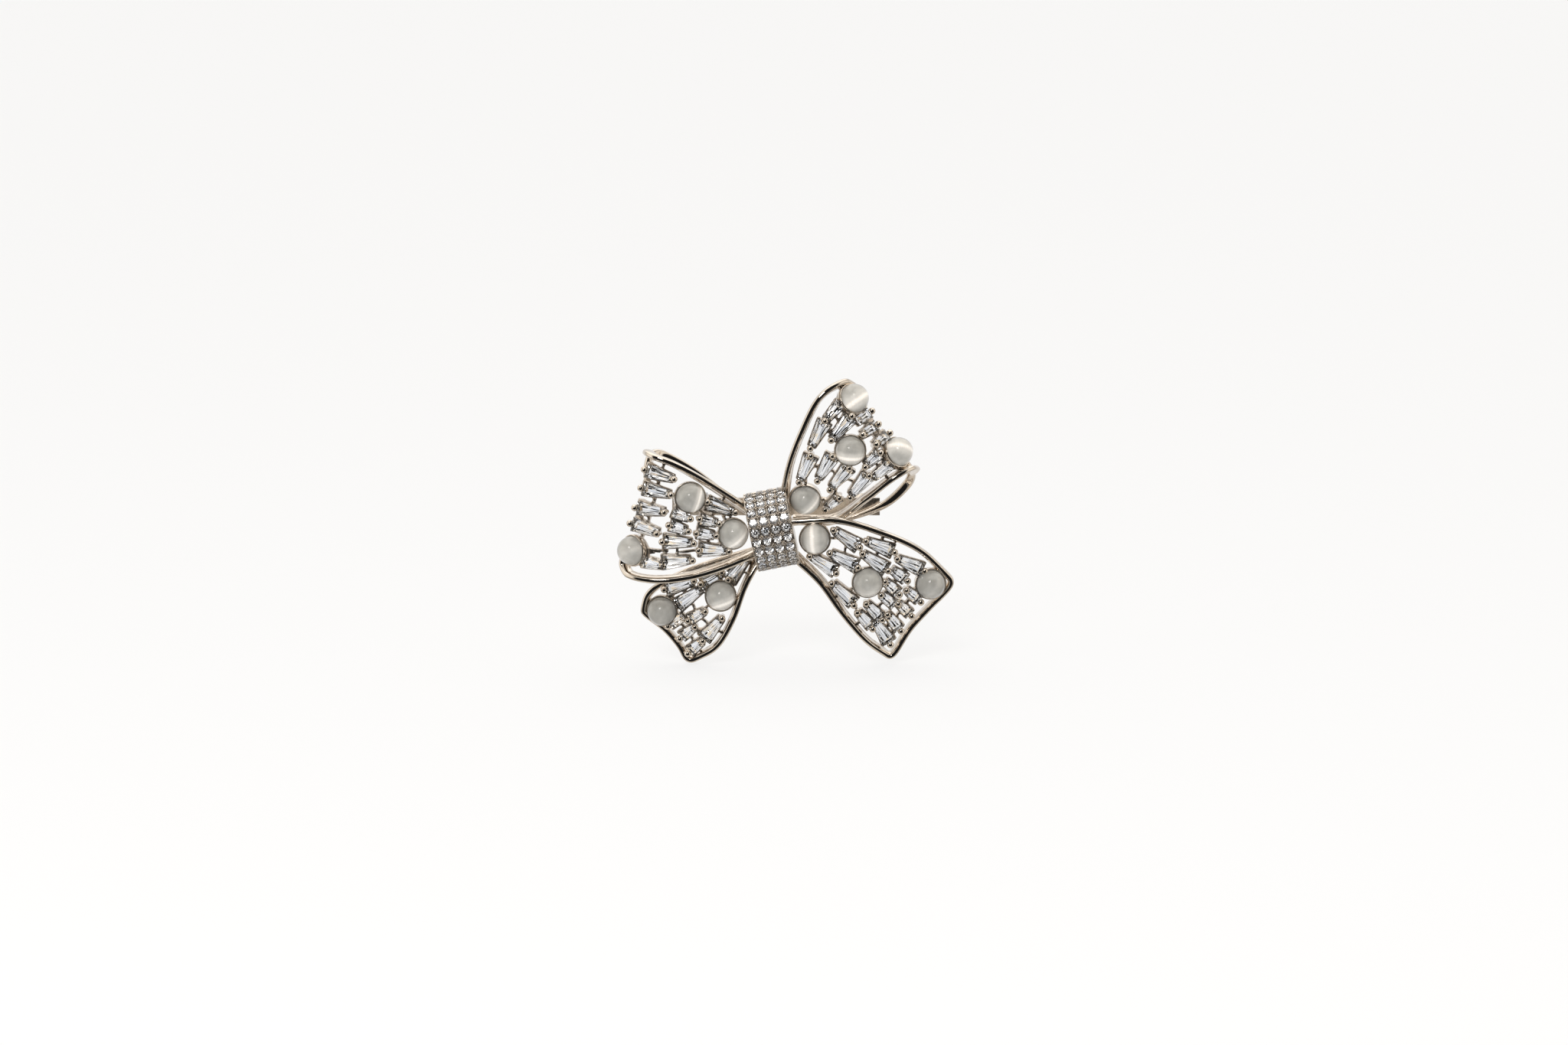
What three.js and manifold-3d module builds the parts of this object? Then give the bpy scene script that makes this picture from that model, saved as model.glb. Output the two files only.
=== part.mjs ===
// A ribbon-bow brooch: four openwork ribbons round a knot, set with cabochons and
// tapered baguettes, on a hinged pin with a turning safety collar.
// Millimetres. +X is to the wearer's right on the front view, +Z is up, the front faces -Y.

import * as THREE from 'three';
import { mergeVertices } from 'three/addons/utils/BufferGeometryUtils.js';
import Module from 'manifold-3d';

const wasm = await Module();
wasm.setup();

// ---- driving dimensions -------------------------------------------------------------

const SOLDER_GAP = 0.04;        // between two castings that are soldered together

const CABOCHON = { radius: 2.0, girdle: 0.35, dome: 2.2, lift: 0.14 };
const CUP = { inner: 2.1, outer: 2.38, below: 0.55, above: 0.75, sides: 12 };
const STEP_CUT = [               // how far each step lies inside the girdle, and its height
  { inset: 0.46, height: 0.44 },
  { inset: 0.22, height: 0.30 },
  { inset: 0.00, height: 0.06 },
  { inset: 0.00, height: -0.06 },
  { inset: 0.28, height: -0.45 },
  { inset: 0.47, height: -0.80 },
];
const GIRDLE_LIFT = 0.58;       // girdle plane of a baguette over the gallery plate
const CUTS = {
  long: { length: 3.85, wide: 2.05, narrow: 1.05 },
  mid: { length: 2.85, wide: 1.65, narrow: 1.10 },
  short: { length: 2.35, wide: 1.60, narrow: 1.10 },
};
const PRONG = { radius: 0.36, crest: 0.24, stand_off: 0.44, below: 0.45, tip: 0.95 };

const PLATE_THICKNESS = 0.7;
const PLATE_SHARES = [0.28, 0.5, 0.72];   // where a ribbon's section is shaped across
const RIBBON_STEPS = 12;                  // and how often along
const SEAT_ROOM = 0.04;         // between a stone and the metal beside it
const AZURE_MARGIN = 0.24;      // ledge left under a baguette's girdle
const AZURE_RADIUS = 1.25;      // light hole behind a cabochon
const RAIL = { width: 0.95, above: 0.95, below: 0.75, shoulder: 0.28 };
const RETURN_THICKNESS = 0.65;
const RETURN_LIP = 0.3;
const RETURN_TURN = 0.55;       // stations over which a return narrows behind its fold
// Shares at a return's outer edge, at its inner edge, and at its inner edge by the fold.
const RETURN_SHARES = { left_loop: [0.0, 0.09, 0.2], right_loop: [1.0, 0.9, 0.8] };

const KNOT = { x: -0.27, z: -0.5, lean: 11.4, y: -1.2, width: 5.9, depth: 5.0, height: 5.35,
  thickness: 1.15, taper: 0.1, hem: 0.7, back: 2.3 };

const PIN = { z: 2.0, axis_y: 4.75, hinge_x: -9.8, tip_x: 15.4, wire: 0.84, taper: 2.4 };
const BAR = { left: -14.0, right: 14.6, front: 2.35, back: 3.05, height: 2.4, pad: 0.12, pad_end: -11.2 };
const HINGE = { length: 2.2, ear: 0.6, slot: 1.14, barrel: 0.95, hole: 0.45, rivet: 0.4, head: 0.68 };
const CATCH = { x: 12.6, length: 2.9, bore: 0.62, tube: 1.0, flange: 1.5, flange_width: 0.75,
  mouth: 1.06, foot: 1.5 };
const COLLAR = { inner: 1.07, outer: 1.46, mouth: 1.12, play: 0.08, tab_reach: 2.25, tab: 0.55,
  tab_angle: -42 };

// Each ribbon lies between an upper and a lower edge. A loop's edges run out along the
// front, round the fold, and back behind to the knot. Stations count along the edge points.
const FOLD = 4.75;              // station where a loop's front casting meets its return
const RETURN_END = 8.9;         // hidden inside the knot
const TAIL_END = 4;
const TAIL_BLEND = 3.4;         // from here a tail runs out to the shape of its cut end
const RIBBONS = {
  left_loop: {
    crown: 0.7,
    upper: [[-2.6, -1.6, 1.5], [-6.5, -3.0, 4.5], [-10.1, -4.0, 7.0], [-13.4, -4.3, 8.9],
      [-16.3, -3.6, 10.0], [-17.0, -1.0, 10.3], [-15.3, 1.3, 10.1], [-11.1, 2.0, 7.7],
      [-6.5, 2.0, 4.1], [-2.6, 1.6, 1.2]],
    lower: [[-2.6, -1.8, -3.6], [-6.8, -3.2, -5.2], [-11.2, -4.2, -6.4], [-15.4, -4.4, -6.9],
      [-18.9, -3.4, -6.7], [-20.7, -0.8, -5.9], [-18.6, 1.5, -4.7], [-13.0, 2.1, -3.9],
      [-7.2, 2.0, -2.9], [-2.6, 1.6, -2.0]],
  },
  right_loop: {
    crown: 0.7,
    upper: [[1.5, -1.4, 3.8], [2.25, -3.0, 8.8], [3.9, -4.1, 13.5], [6.1, -4.2, 17.9],
      [8.9, -3.0, 19.8], [10.6, -0.5, 19.0], [10.4, 1.6, 16.0], [8.3, 2.1, 10.35],
      [5.8, 2.0, 4.7], [3.0, 1.6, 1.4]],
    lower: [[3.2, -0.2, 0.7], [8.4, -0.7, 0.95], [12.6, -2.9, 4.2], [15.9, -3.8, 6.9],
      [18.3, -2.8, 8.0], [19.5, -0.4, 6.9], [18.7, 1.4, 4.8], [15.3, 2.0, 1.9],
      [9.6, 2.0, 0.1], [4.5, 1.6, -0.6]],
  },
  left_tail: {
    crown: 0.5,
    upper: [[-2.9, 0.9, -4.3], [-8.2, 0.0, -5.5], [-12.9, -0.5, -7.0], [-16.7, -0.2, -9.2],
      [-18.1, 0.4, -11.75]],
    lower: [[-2.3, -0.2, -4.9], [-4.2, -1.2, -8.8], [-5.6, -1.5, -12.8], [-7.6, -0.9, -16.5],
      [-10.4, 0.0, -18.7]],
    end: [[-18.1, 0.4, -11.75], [-17.4, 0.5, -12.7], [-15.0, 0.6, -14.6], [-13.0, 0.5, -16.9],
      [-11.8, 0.2, -18.8], [-10.4, 0.0, -18.7]],
  },
  right_tail: {
    crown: 0.6,
    upper: [[2.9, -2.4, 0.7], [8.6, -2.7, 0.95], [14.2, -2.7, -0.55], [19.6, -1.8, -3.05],
      [23.4, -0.4, -6.5]],
    lower: [[3.2, -1.2, -4.35], [6.6, -1.8, -7.7], [9.4, -1.8, -11.8], [12.4, -1.0, -15.6],
      [15.2, 0.4, -18.15]],
    end: [[23.4, -0.4, -6.5], [24.2, -0.2, -8.3], [21.2, 0.2, -11.7], [18.6, 0.4, -14.7],
      [16.4, 0.5, -18.2], [15.2, 0.4, -18.15]],
  },
};

// The stones of each ribbon, from the knot outwards: station along the ribbon, share of the
// way from its upper to its lower edge, and for a baguette its turn off the ribbon's run.
// Those with no name are the smallest, and are set on the finished piece only.
const CABOCHONS = {
  left_loop: [[0.76, 0.52], [2.30, 0.22], [4.25, 0.79]],
  right_loop: [[0.68, 0.49], [2.67, 0.53], [4.02, 0.18], [4.08, 0.80]],
  left_tail: [[1.66, 0.65], [3.38, 0.245]],
  right_tail: [[0.54, 0.35], [2.29, 0.54], [3.68, 0.24]],
};
const BAGUETTES = {
  left_loop: [
    [1.22, 0.20, 2, 'long', 'inner_1'], [1.59, 0.40, -2, 'short', null],
    [1.66, 0.55, -3, 'short', null], [1.39, 0.74, -9, 'long', 'inner_2'],
    [2.57, 0.40, -8, 'short', null], [2.60, 0.52, -8, 'short', null],
    [2.57, 0.65, 2, 'long', 'middle_1'], [2.54, 0.83, 4, 'long', 'middle_2'],
    [3.55, 0.12, 1, 'long', 'outer_1'], [3.58, 0.26, 4, 'long', 'outer_2'],
    [3.72, 0.42, 7, 'long', 'outer_3'], [3.85, 0.58, -4, 'long', 'outer_4'],
    [3.37, 0.86, -4, 'mid', 'outer_5'],
  ],
  right_loop: [
    [1.28, 0.77, 0, 'short', null], [1.35, 0.23, 4, 'long', 'inner_1'],
    [1.79, 0.43, 4, 'long', 'inner_2'], [1.89, 0.63, 0, 'long', 'inner_3'],
    [2.15, 0.84, 7, 'long', 'inner_4'], [2.30, 0.17, 0, 'long', 'middle_1'],
    [2.94, 0.33, 1, 'long', 'middle_2'], [3.01, 0.74, 4, 'short', null],
    [2.98, 0.88, 2, 'mid', 'middle_3'], [3.12, 0.17, 4, 'mid', 'outer_1'],
    [3.85, 0.37, 11, 'short', null], [3.69, 0.50, 6, 'short', null],
    [3.85, 0.63, 16, 'short', null],
  ],
  left_tail: [
    [0.62, 0.50, 14, 'long', 'inner_1'], [1.43, 0.32, -3, 'mid', 'inner_2'],
    [2.26, 0.14, -14, 'long', 'middle_1'], [2.36, 0.35, -4, 'long', 'middle_2'],
    [2.66, 0.58, -18, 'short', null], [3.30, 0.45, -16, 'short', null],
    [3.38, 0.64, -5, 'short', null], [2.69, 0.83, -4, 'long', 'outer_1'],
    [3.58, 0.81, -22, 'short', null],
  ],
  right_tail: [
    [0.92, 0.71, 2, 'long', 'inner_1'], [1.35, 0.21, -12, 'long', 'inner_2'],
    [1.46, 0.48, 7, 'long', 'inner_3'], [1.80, 0.83, 5, 'long', 'inner_4'],
    [2.18, 0.14, 2, 'long', 'middle_1'], [2.23, 0.31, -5, 'long', 'middle_2'],
    [2.92, 0.44, -6, 'short', null], [2.92, 0.30, -2, 'short', null],
    [3.02, 0.56, 0, 'short', 'middle_3'], [2.82, 0.73, -4, 'mid', 'middle_4'],
    [2.72, 0.86, -2, 'mid', null], [3.04, 0.16, 9, 'long', 'outer_1'],
    [3.54, 0.38, -6, 'short', null], [3.56, 0.52, 3, 'short', 'outer_2'],
    [3.52, 0.67, 10, 'mid', null], [3.42, 0.83, 12, 'long', 'outer_3'],
  ],
};
const OPENINGS = {              // see-through gaps between the stones: station, share, size
  left_loop: [[2.98, 0.24, 0.9], [3.10, 0.36, 0.9], [3.20, 0.52, 0.9], [2.08, 0.36, 0.7]],
  right_loop: [[2.08, 0.28, 0.8], [2.30, 0.47, 0.7], [3.32, 0.62, 0.7], [3.22, 0.45, 0.7]],
  left_tail: [[1.05, 0.40, 0.7], [2.15, 0.52, 0.8]],
  right_tail: [[1.02, 0.22, 0.7], [1.12, 0.55, 0.8], [1.70, 0.66, 0.8]],
};

// ---- solids -------------------------------------------------------------------------

function vector(point) {
  return new THREE.Vector3(...point);
}

function solidOf(geometry) {
  const bare = geometry.clone();
  bare.deleteAttribute('normal');
  bare.deleteAttribute('uv');
  const merged = mergeVertices(bare, 1e-5);
  return new wasm.Manifold(new wasm.Mesh({
    numProp: 3,
    vertProperties: new Float32Array(merged.attributes.position.array),
    triVerts: new Uint32Array(merged.index.array),
  }));
}

function geometryOf(solid) {
  const mesh = solid.getMesh();
  const geometry = new THREE.BufferGeometry();
  geometry.setAttribute('position', new THREE.BufferAttribute(mesh.vertProperties, 3));
  geometry.setIndex(new THREE.BufferAttribute(mesh.triVerts, 1));
  const flat = geometry.toNonIndexed();
  flat.computeVertexNormals();
  return flat;
}

function signedVolume(positions, index) {
  const corners = [0, 1, 2].map(() => new THREE.Vector3());
  let volume = 0;
  for (let i = 0; i < index.length; i += 3) {
    corners.forEach((corner, k) => corner.fromArray(positions, 3 * index[i + k]));
    volume += corners[0].dot(corners[1].clone().cross(corners[2])) / 6;
  }
  return volume;
}

// A closed body through equal rings. Each ring is a front row and a back row of points.
function loft(rings) {
  const half = rings[0].front.length;
  const count = 2 * half;
  const positions = [];
  const index = [];
  for (const ring of rings) {
    for (const point of [...ring.front, ...[...ring.back].reverse()]) {
      positions.push(point.x, point.y, point.z);
    }
  }
  for (let r = 0; r + 1 < rings.length; r += 1) {
    for (let k = 0; k < count; k += 1) {
      const a = r * count + k;
      const b = r * count + (k + 1) % count;
      index.push(a, b, b + count, a, b + count, a + count);
    }
  }
  const last = (rings.length - 1) * count;
  for (let k = 0; k + 1 < half; k += 1) {
    const opposite = count - 1 - k;
    index.push(k, opposite, opposite - 1, k, opposite - 1, k + 1);
    index.push(last + k, last + opposite - 1, last + opposite, last + k, last + k + 1, last + opposite - 1);
  }
  if (signedVolume(positions, index) < 0) {
    for (let i = 0; i < index.length; i += 3) {
      [index[i + 1], index[i + 2]] = [index[i + 2], index[i + 1]];
    }
  }
  const geometry = new THREE.BufferGeometry();
  geometry.setAttribute('position', new THREE.Float32BufferAttribute(positions, 3));
  geometry.setIndex(index);
  return geometry;
}

// A regular ring of points about a local Z axis, as a front row and a back row.
function roundRing(sides, radius, height) {
  const points = [];
  for (let k = 0; k < sides; k += 1) {
    const angle = 2 * Math.PI * (k + 0.5) / sides;
    points.push(new THREE.Vector3(radius * Math.cos(angle), radius * Math.sin(angle), height));
  }
  return { front: points.slice(0, sides / 2), back: points.slice(sides / 2).reverse() };
}

function placed(geometry, frame) {
  return geometry.clone().applyMatrix4(frame);
}

// ---- ribbon surfaces ----------------------------------------------------------------

function along(points, station) {
  const last = points.length - 1;
  const i = Math.min(Math.max(Math.floor(station), 0), last - 1);
  const t = station - i;
  const from = vector(points[i]);
  const to = vector(points[i + 1]);
  const before = i > 0 ? vector(points[i - 1]) : from.clone().multiplyScalar(2).sub(to);
  const after = i + 2 <= last ? vector(points[i + 2]) : to.clone().multiplyScalar(2).sub(from);
  const weights = [
    (-t + 2 * t * t - t ** 3) / 2,
    (2 - 5 * t * t + 3 * t ** 3) / 2,
    (t + 4 * t * t - 3 * t ** 3) / 2,
    (-t * t + t ** 3) / 2,
  ];
  return [before, from, to, after].reduce(
    (sum, point, k) => sum.addScaledVector(point, weights[k]), new THREE.Vector3());
}

function surfacePoint(ribbon, station, share) {
  const across = (s) => along(ribbon.upper, s).lerp(along(ribbon.lower, s), share);
  let point;
  if (ribbon.end && station > TAIL_BLEND) {
    const edge = along(ribbon.end, share * (ribbon.end.length - 1));
    point = across(TAIL_BLEND).lerp(edge, (station - TAIL_BLEND) / (TAIL_END - TAIL_BLEND));
  } else {
    point = across(station);
  }
  point.y -= 4 * ribbon.crown * share * (1 - share);
  return point;
}

// The frame at a place on a ribbon: X along its run, Z out of its front, origin on the plate.
function surfaceFrame(ribbon, station, share) {
  const step = 0.02;
  const low = Math.max(share - step, 0);
  const high = Math.min(share + step, 1);
  const run = surfacePoint(ribbon, station + step, share).sub(surfacePoint(ribbon, station - step, share));
  const across = surfacePoint(ribbon, station, high).sub(surfacePoint(ribbon, station, low));
  const facing = ribbon === RIBBONS.left_loop || ribbon === RIBBONS.left_tail ? 1 : -1;
  const out = across.clone().cross(run).multiplyScalar(facing * -1).normalize();
  const x = run.normalize();
  const y = out.clone().cross(x).normalize();
  return new THREE.Matrix4().makeBasis(x, y, out).setPosition(surfacePoint(ribbon, station, share));
}

// The place on a ribbon nearest to a point, found from a place close by.
function nearestPlace(ribbon, point, station, share) {
  let place = [station, share];
  for (let pass = 0; pass < 5; pass += 1) {
    const [s, v] = place;
    const here = surfacePoint(ribbon, s, v);
    const perStation = surfacePoint(ribbon, s + 0.01, v).sub(here).multiplyScalar(100);
    const perShare = surfacePoint(ribbon, s, v + 0.01).sub(here).multiplyScalar(100);
    const gap = point.clone().sub(here);
    const aa = perStation.dot(perStation);
    const ab = perStation.dot(perShare);
    const bb = perShare.dot(perShare);
    const determinant = aa * bb - ab * ab;
    const ga = gap.dot(perStation);
    const gb = gap.dot(perShare);
    place = [s + (ga * bb - gb * ab) / determinant, v + (gb * aa - ga * ab) / determinant];
  }
  return place;
}

// One section across a ribbon: a rail, the gallery plate, and the other rail.
function ribbonRing(ribbon, station) {
  const w = RAIL.width / 2;
  const shoulder = RAIL.above - RAIL.shoulder;
  const rows = {
    front: [[-w, shoulder], [0, RAIL.above], [w, shoulder], [w, 0]],
    back: [[-w, -RAIL.below + 0.15], [-w / 2, -RAIL.below], [0, -RAIL.below], [w, -RAIL.below]],
  };
  const middle = surfacePoint(ribbon, station, 0.5);
  const edge = (share, row) => {
    const frame = surfaceFrame(ribbon, station, share);
    const inward = middle.clone().sub(surfacePoint(ribbon, station, share));
    const side = Math.sign(new THREE.Vector3().setFromMatrixColumn(frame, 1).dot(inward));
    return row.map(([y, z]) => new THREE.Vector3(0, side * y, z).applyMatrix4(frame));
  };
  const across = (height) => PLATE_SHARES.map(
    (share) => new THREE.Vector3(0, 0, height).applyMatrix4(surfaceFrame(ribbon, station, share)));
  return {
    front: [...edge(0, rows.front), ...across(0), ...edge(1, rows.front).reverse()],
    back: [...edge(0, rows.back), ...across(-PLATE_THICKNESS), ...edge(1, rows.back).reverse()],
  };
}

function ribbonBlank(ribbon, from, to) {
  const rings = [];
  for (let i = 0; i <= RIBBON_STEPS; i += 1) {
    rings.push(ribbonRing(ribbon, from + (to - from) * i / RIBBON_STEPS));
  }
  return solidOf(loft(rings));
}

function endRailRing(frame) {
  const w = RAIL.width / 2;
  const shoulder = RAIL.above - RAIL.shoulder;
  const toWorld = ([y, z]) => new THREE.Vector3(0, y, z).applyMatrix4(frame);
  return {
    front: [[-w, shoulder], [0, RAIL.above], [w, shoulder]].map(toWorld),
    back: [[-w, -RAIL.below + 0.15], [0, -RAIL.below], [w, -RAIL.below + 0.15]].map(toWorld),
  };
}

// The rail along a tail's cut end, with its depth along the plate's own normal.
function endRail(ribbon, steps) {
  const rings = [];
  const last = ribbon.end.length - 1;
  for (let i = 0; i <= steps; i += 1) {
    const share = i / steps;
    const run = along(ribbon.end, share * last + 0.02).sub(along(ribbon.end, share * last - 0.02)).normalize();
    const out = new THREE.Vector3().setFromMatrixColumn(surfaceFrame(ribbon, TAIL_BLEND - 0.1, 0.5), 2);
    const side = out.clone().cross(run).normalize();
    const up = run.clone().cross(side).normalize();
    const frame = new THREE.Matrix4().makeBasis(run, side, up).setPosition(along(ribbon.end, share * last));
    rings.push(endRailRing(frame));
  }
  return solidOf(loft(rings));
}

// ---- stones -------------------------------------------------------------------------

function stepCutRing(cut, inset, height) {
  const ends = [
    { x: -cut.length / 2 + inset, half: Math.max(cut.narrow / 2 - inset, 0.05) },
    { x: cut.length / 2 - inset, half: Math.max(cut.wide / 2 - inset, 0.05) },
  ];
  return {
    front: ends.map((end) => new THREE.Vector3(end.x, end.half, height)),
    back: ends.map((end) => new THREE.Vector3(end.x, -end.half, height)),
  };
}

function baguetteGeometry(cut) {
  return loft(STEP_CUT.map((step) => stepCutRing(cut, step.inset, step.height)));
}

function cabochonGeometry() {
  const profile = [new THREE.Vector2(0, 0), new THREE.Vector2(CABOCHON.radius, 0)];
  const rings = 4;
  for (let k = 0; k < rings; k += 1) {
    const angle = Math.PI / 2 * k / rings;
    profile.push(new THREE.Vector2(
      CABOCHON.radius * Math.cos(angle), CABOCHON.girdle + CABOCHON.dome * Math.sin(angle)));
  }
  profile.push(new THREE.Vector2(0, CABOCHON.girdle + CABOCHON.dome));
  return new THREE.LatheGeometry(profile, 16).rotateX(Math.PI / 2);
}

function cabochonFrame(ribbon, [station, share]) {
  const lift = new THREE.Matrix4().makeTranslation(0, 0, CABOCHON.lift);
  return surfaceFrame(ribbon, station, share).multiply(lift);
}

function baguetteFrame(ribbon, [station, share, turn]) {
  const lift = new THREE.Matrix4().makeTranslation(0, 0, GIRDLE_LIFT);
  const spin = new THREE.Matrix4().makeRotationZ(turn * Math.PI / 180);
  return surfaceFrame(ribbon, station, share).multiply(lift).multiply(spin);
}

// ---- castings -----------------------------------------------------------------------

function cupSolid(frame) {
  const profile = [
    [CUP.inner, -CUP.below], [CUP.outer, -CUP.below], [CUP.outer, CUP.above], [CUP.inner, CUP.above],
    [CUP.inner, -CUP.below],
  ].map(([radius, height]) => new THREE.Vector2(radius, height));
  const ring = new THREE.LatheGeometry(profile, CUP.sides).rotateX(Math.PI / 2);
  return solidOf(placed(ring, frame));
}

function drill(sides, radius, deep, frame) {
  return solidOf(placed(loft([roundRing(sides, radius, -deep), roundRing(sides, radius, deep)]), frame));
}

function azureSolid(cut, frame) {
  const below = -GIRDLE_LIFT - PLATE_THICKNESS - 0.6;
  const hole = loft([stepCutRing(cut, AZURE_MARGIN, below), stepCutRing(cut, AZURE_MARGIN, 0)]);
  return solidOf(placed(hole, frame));
}

// The room a stone needs, a little over its own size, so that the metal clears it.
function seatSolid(stone) {
  const length = stone.cut ? stone.cut.length : 2 * CABOCHON.radius;
  const width = stone.cut ? stone.cut.wide : 2 * CABOCHON.radius;
  const room = stone.cut ? baguetteGeometry(stone.cut) : cabochonGeometry().translate(0, 0, -SEAT_ROOM);
  room.scale(1 + 2 * SEAT_ROOM / length, 1 + 2 * SEAT_ROOM / width, 1.06);
  return solidOf(placed(room, stone.frame));
}

function prongSolid(frame) {
  const rings = [roundRing(6, PRONG.radius, -PRONG.below), roundRing(6, PRONG.crest, PRONG.tip)];
  return solidOf(placed(loft(rings), frame));
}

// True where a point is too close to a stone for a prong to stand there.
function crowds(point, stone, margin) {
  const local = point.clone().applyMatrix4(stone.frame.clone().invert());
  if (Math.abs(local.z) > 2) {
    return false;
  }
  if (!stone.cut) {
    return Math.hypot(local.x, local.y) < CUP.outer + margin - 0.15;
  }
  const share = (local.x + stone.cut.length / 2) / stone.cut.length;
  const half = THREE.MathUtils.lerp(stone.cut.narrow, stone.cut.wide, THREE.MathUtils.clamp(share, 0, 1)) / 2;
  return Math.abs(local.x) < stone.cut.length / 2 + margin && Math.abs(local.y) < half + margin;
}

function prongFrames(ribbon, stones) {
  const feet = [];
  for (const stone of stones.filter((each) => each.cut)) {
    for (const side of [-1, 1]) {
      const reach = side * (stone.cut.length / 2 + PRONG.stand_off);
      const point = new THREE.Vector3(reach, 0, -GIRDLE_LIFT).applyMatrix4(stone.frame);
      const [station, share] = nearestPlace(ribbon, point, stone.place[0], stone.place[1]);
      const edge = ribbon.end ? 3.9 : FOLD - 0.25;
      const onPlate = station > 0.5 && station < edge && share > 0.04 && share < 0.96;
      const clear = stones.every((other) => !crowds(point, other, PRONG.radius + 0.02));
      const apart = feet.every((foot) => foot.distanceTo(point) > 2 * PRONG.radius + 0.1);
      if (onPlate && clear && apart) {
        feet.push(point);
        stone.prongs.push(surfaceFrame(ribbon, station, share));
      }
    }
  }
  return stones.flatMap((stone) => stone.prongs);
}

function stonesOf(name) {
  const ribbon = RIBBONS[name];
  const round = CABOCHONS[name].map((place, k) => ({
    name: `cabochon_${name}_${k + 1}`,
    place,
    cut: null,
    prongs: [],
    frame: cabochonFrame(ribbon, place),
  }));
  const tapered = BAGUETTES[name].map((place) => ({
    name: place[4] ? `baguette_${name}_${place[4]}` : null,
    place,
    cut: CUTS[place[3]],
    prongs: [],
    frame: baguetteFrame(ribbon, place),
  }));
  return [...round, ...tapered];
}

function ribbonCasting(name, stones, knotEnvelope) {
  const ribbon = RIBBONS[name];
  const isTail = Boolean(ribbon.end);
  let casting = ribbonBlank(ribbon, 0.1, isTail ? TAIL_END : FOLD);
  for (const stone of stones.filter((each) => each.name)) {
    const cutter = stone.cut
      ? azureSolid(stone.cut, stone.frame)
      : drill(8, AZURE_RADIUS, 1.6, stone.frame);
    casting = casting.subtract(cutter);
  }
  for (const [station, share, size] of OPENINGS[name]) {
    casting = casting.subtract(drill(6, size, 1.6, surfaceFrame(ribbon, station, share)));
  }
  if (isTail) {
    casting = casting.add(endRail(ribbon, 10));
  }
  for (const stone of stones.filter((each) => !each.cut)) {
    casting = casting.add(cupSolid(stone.frame));
  }
  for (const frame of prongFrames(ribbon, stones)) {
    casting = casting.add(prongSolid(frame));
  }
  for (const stone of stones.filter((each) => each.name)) {
    casting = casting.subtract(seatSolid(stone));
  }
  return casting.subtract(knotEnvelope);
}

// The narrow strip that runs from a loop's fold back behind it to the knot.
function returnCasting(name, knotEnvelope) {
  const ribbon = RIBBONS[name];
  const [outerShare, runShare, foldShare] = RETURN_SHARES[name];
  const rings = [];
  const steps = 16;
  for (let i = 0; i <= steps; i += 1) {
    const station = FOLD + 0.012 + (RETURN_END - FOLD) * i / steps;
    const widening = Math.exp(-(((station - FOLD) / RETURN_TURN) ** 2));
    const innerShare = runShare + (foldShare - runShare) * widening;
    const low = Math.min(outerShare, innerShare);
    const high = Math.max(outerShare, innerShare);
    const edges = [low, high].map((share) => surfaceFrame(ribbon, station, share));
    const at = (frame, height) => new THREE.Vector3(0, 0, height).applyMatrix4(frame);
    const inner = edges.map((frame) => at(frame, -RETURN_THICKNESS));
    const outer = edges.map((frame) => at(frame, RETURN_LIP));
    const shoulders = [0.15, 0.85].map((t) => {
      const share = low + (high - low) * t;
      return at(surfaceFrame(ribbon, station, share), 0.05);
    });
    const innerMiddle = [0.15, 0.85].map((t) => inner[0].clone().lerp(inner[1], t));
    rings.push({
      front: [outer[0], shoulders[0], shoulders[1], outer[1]],
      back: [inner[0], innerMiddle[0], innerMiddle[1], inner[1]],
    });
  }
  const front = ribbonBlank(ribbon, FOLD - 0.5, FOLD + 0.05);
  return solidOf(loft(rings)).subtract(front).subtract(knotEnvelope);
}

// ---- knot ---------------------------------------------------------------------------

// Outline of the knot in its own YZ plane, set in by an offset, closed across the back.
function knotOutline(offset, back) {
  const outline = [];
  const steps = 18;
  const height = KNOT.height - offset;
  const hem = height - KNOT.taper * (back - KNOT.y);
  outline.push(new THREE.Vector2(back, hem));
  for (let k = 0; k <= steps; k += 1) {
    const angle = Math.PI / 2 - Math.PI * k / steps;
    outline.push(new THREE.Vector2(
      KNOT.y - (KNOT.depth - offset) * Math.cos(angle), height * Math.sin(angle)));
  }
  outline.push(new THREE.Vector2(back, -hem));
  return outline;
}

// A body of the knot's outline, swept across its width and leant over.
function knotSolid(points, width) {
  const shape = new THREE.Shape(points);
  const body = new THREE.ExtrudeGeometry(shape, { depth: width, bevelEnabled: false });
  body.translate(0, 0, -width / 2);
  const toKnot = new THREE.Matrix4().makeBasis(
    new THREE.Vector3(0, 1, 0), new THREE.Vector3(0, 0, 1), new THREE.Vector3(1, 0, 0));
  body.applyMatrix4(toKnot);
  body.applyMatrix4(new THREE.Matrix4().makeRotationY(-KNOT.lean * Math.PI / 180));
  body.translate(KNOT.x, 0, KNOT.z);
  return solidOf(body);
}

function knotBandPoints() {
  const outer = knotOutline(0, KNOT.hem);
  const inner = knotOutline(KNOT.thickness, KNOT.hem);
  return [...outer, ...inner.reverse()];
}

// ---- pin finding --------------------------------------------------------------------

function box(x0, x1, y0, y1, z0, z1) {
  const geometry = new THREE.BoxGeometry(x1 - x0, y1 - y0, z1 - z0);
  return geometry.translate((x0 + x1) / 2, (y0 + y1) / 2, (z0 + z1) / 2);
}

// A disc or tube wall about an axis along X, at the pin's height.
function axleAlongX(sides, radius, x0, x1) {
  const body = loft([roundRing(sides, radius, x0), roundRing(sides, radius, x1)]);
  body.rotateX(Math.PI / 2).rotateZ(Math.PI / 2);
  return solidOf(body.translate(0, PIN.axis_y, PIN.z));
}

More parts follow.
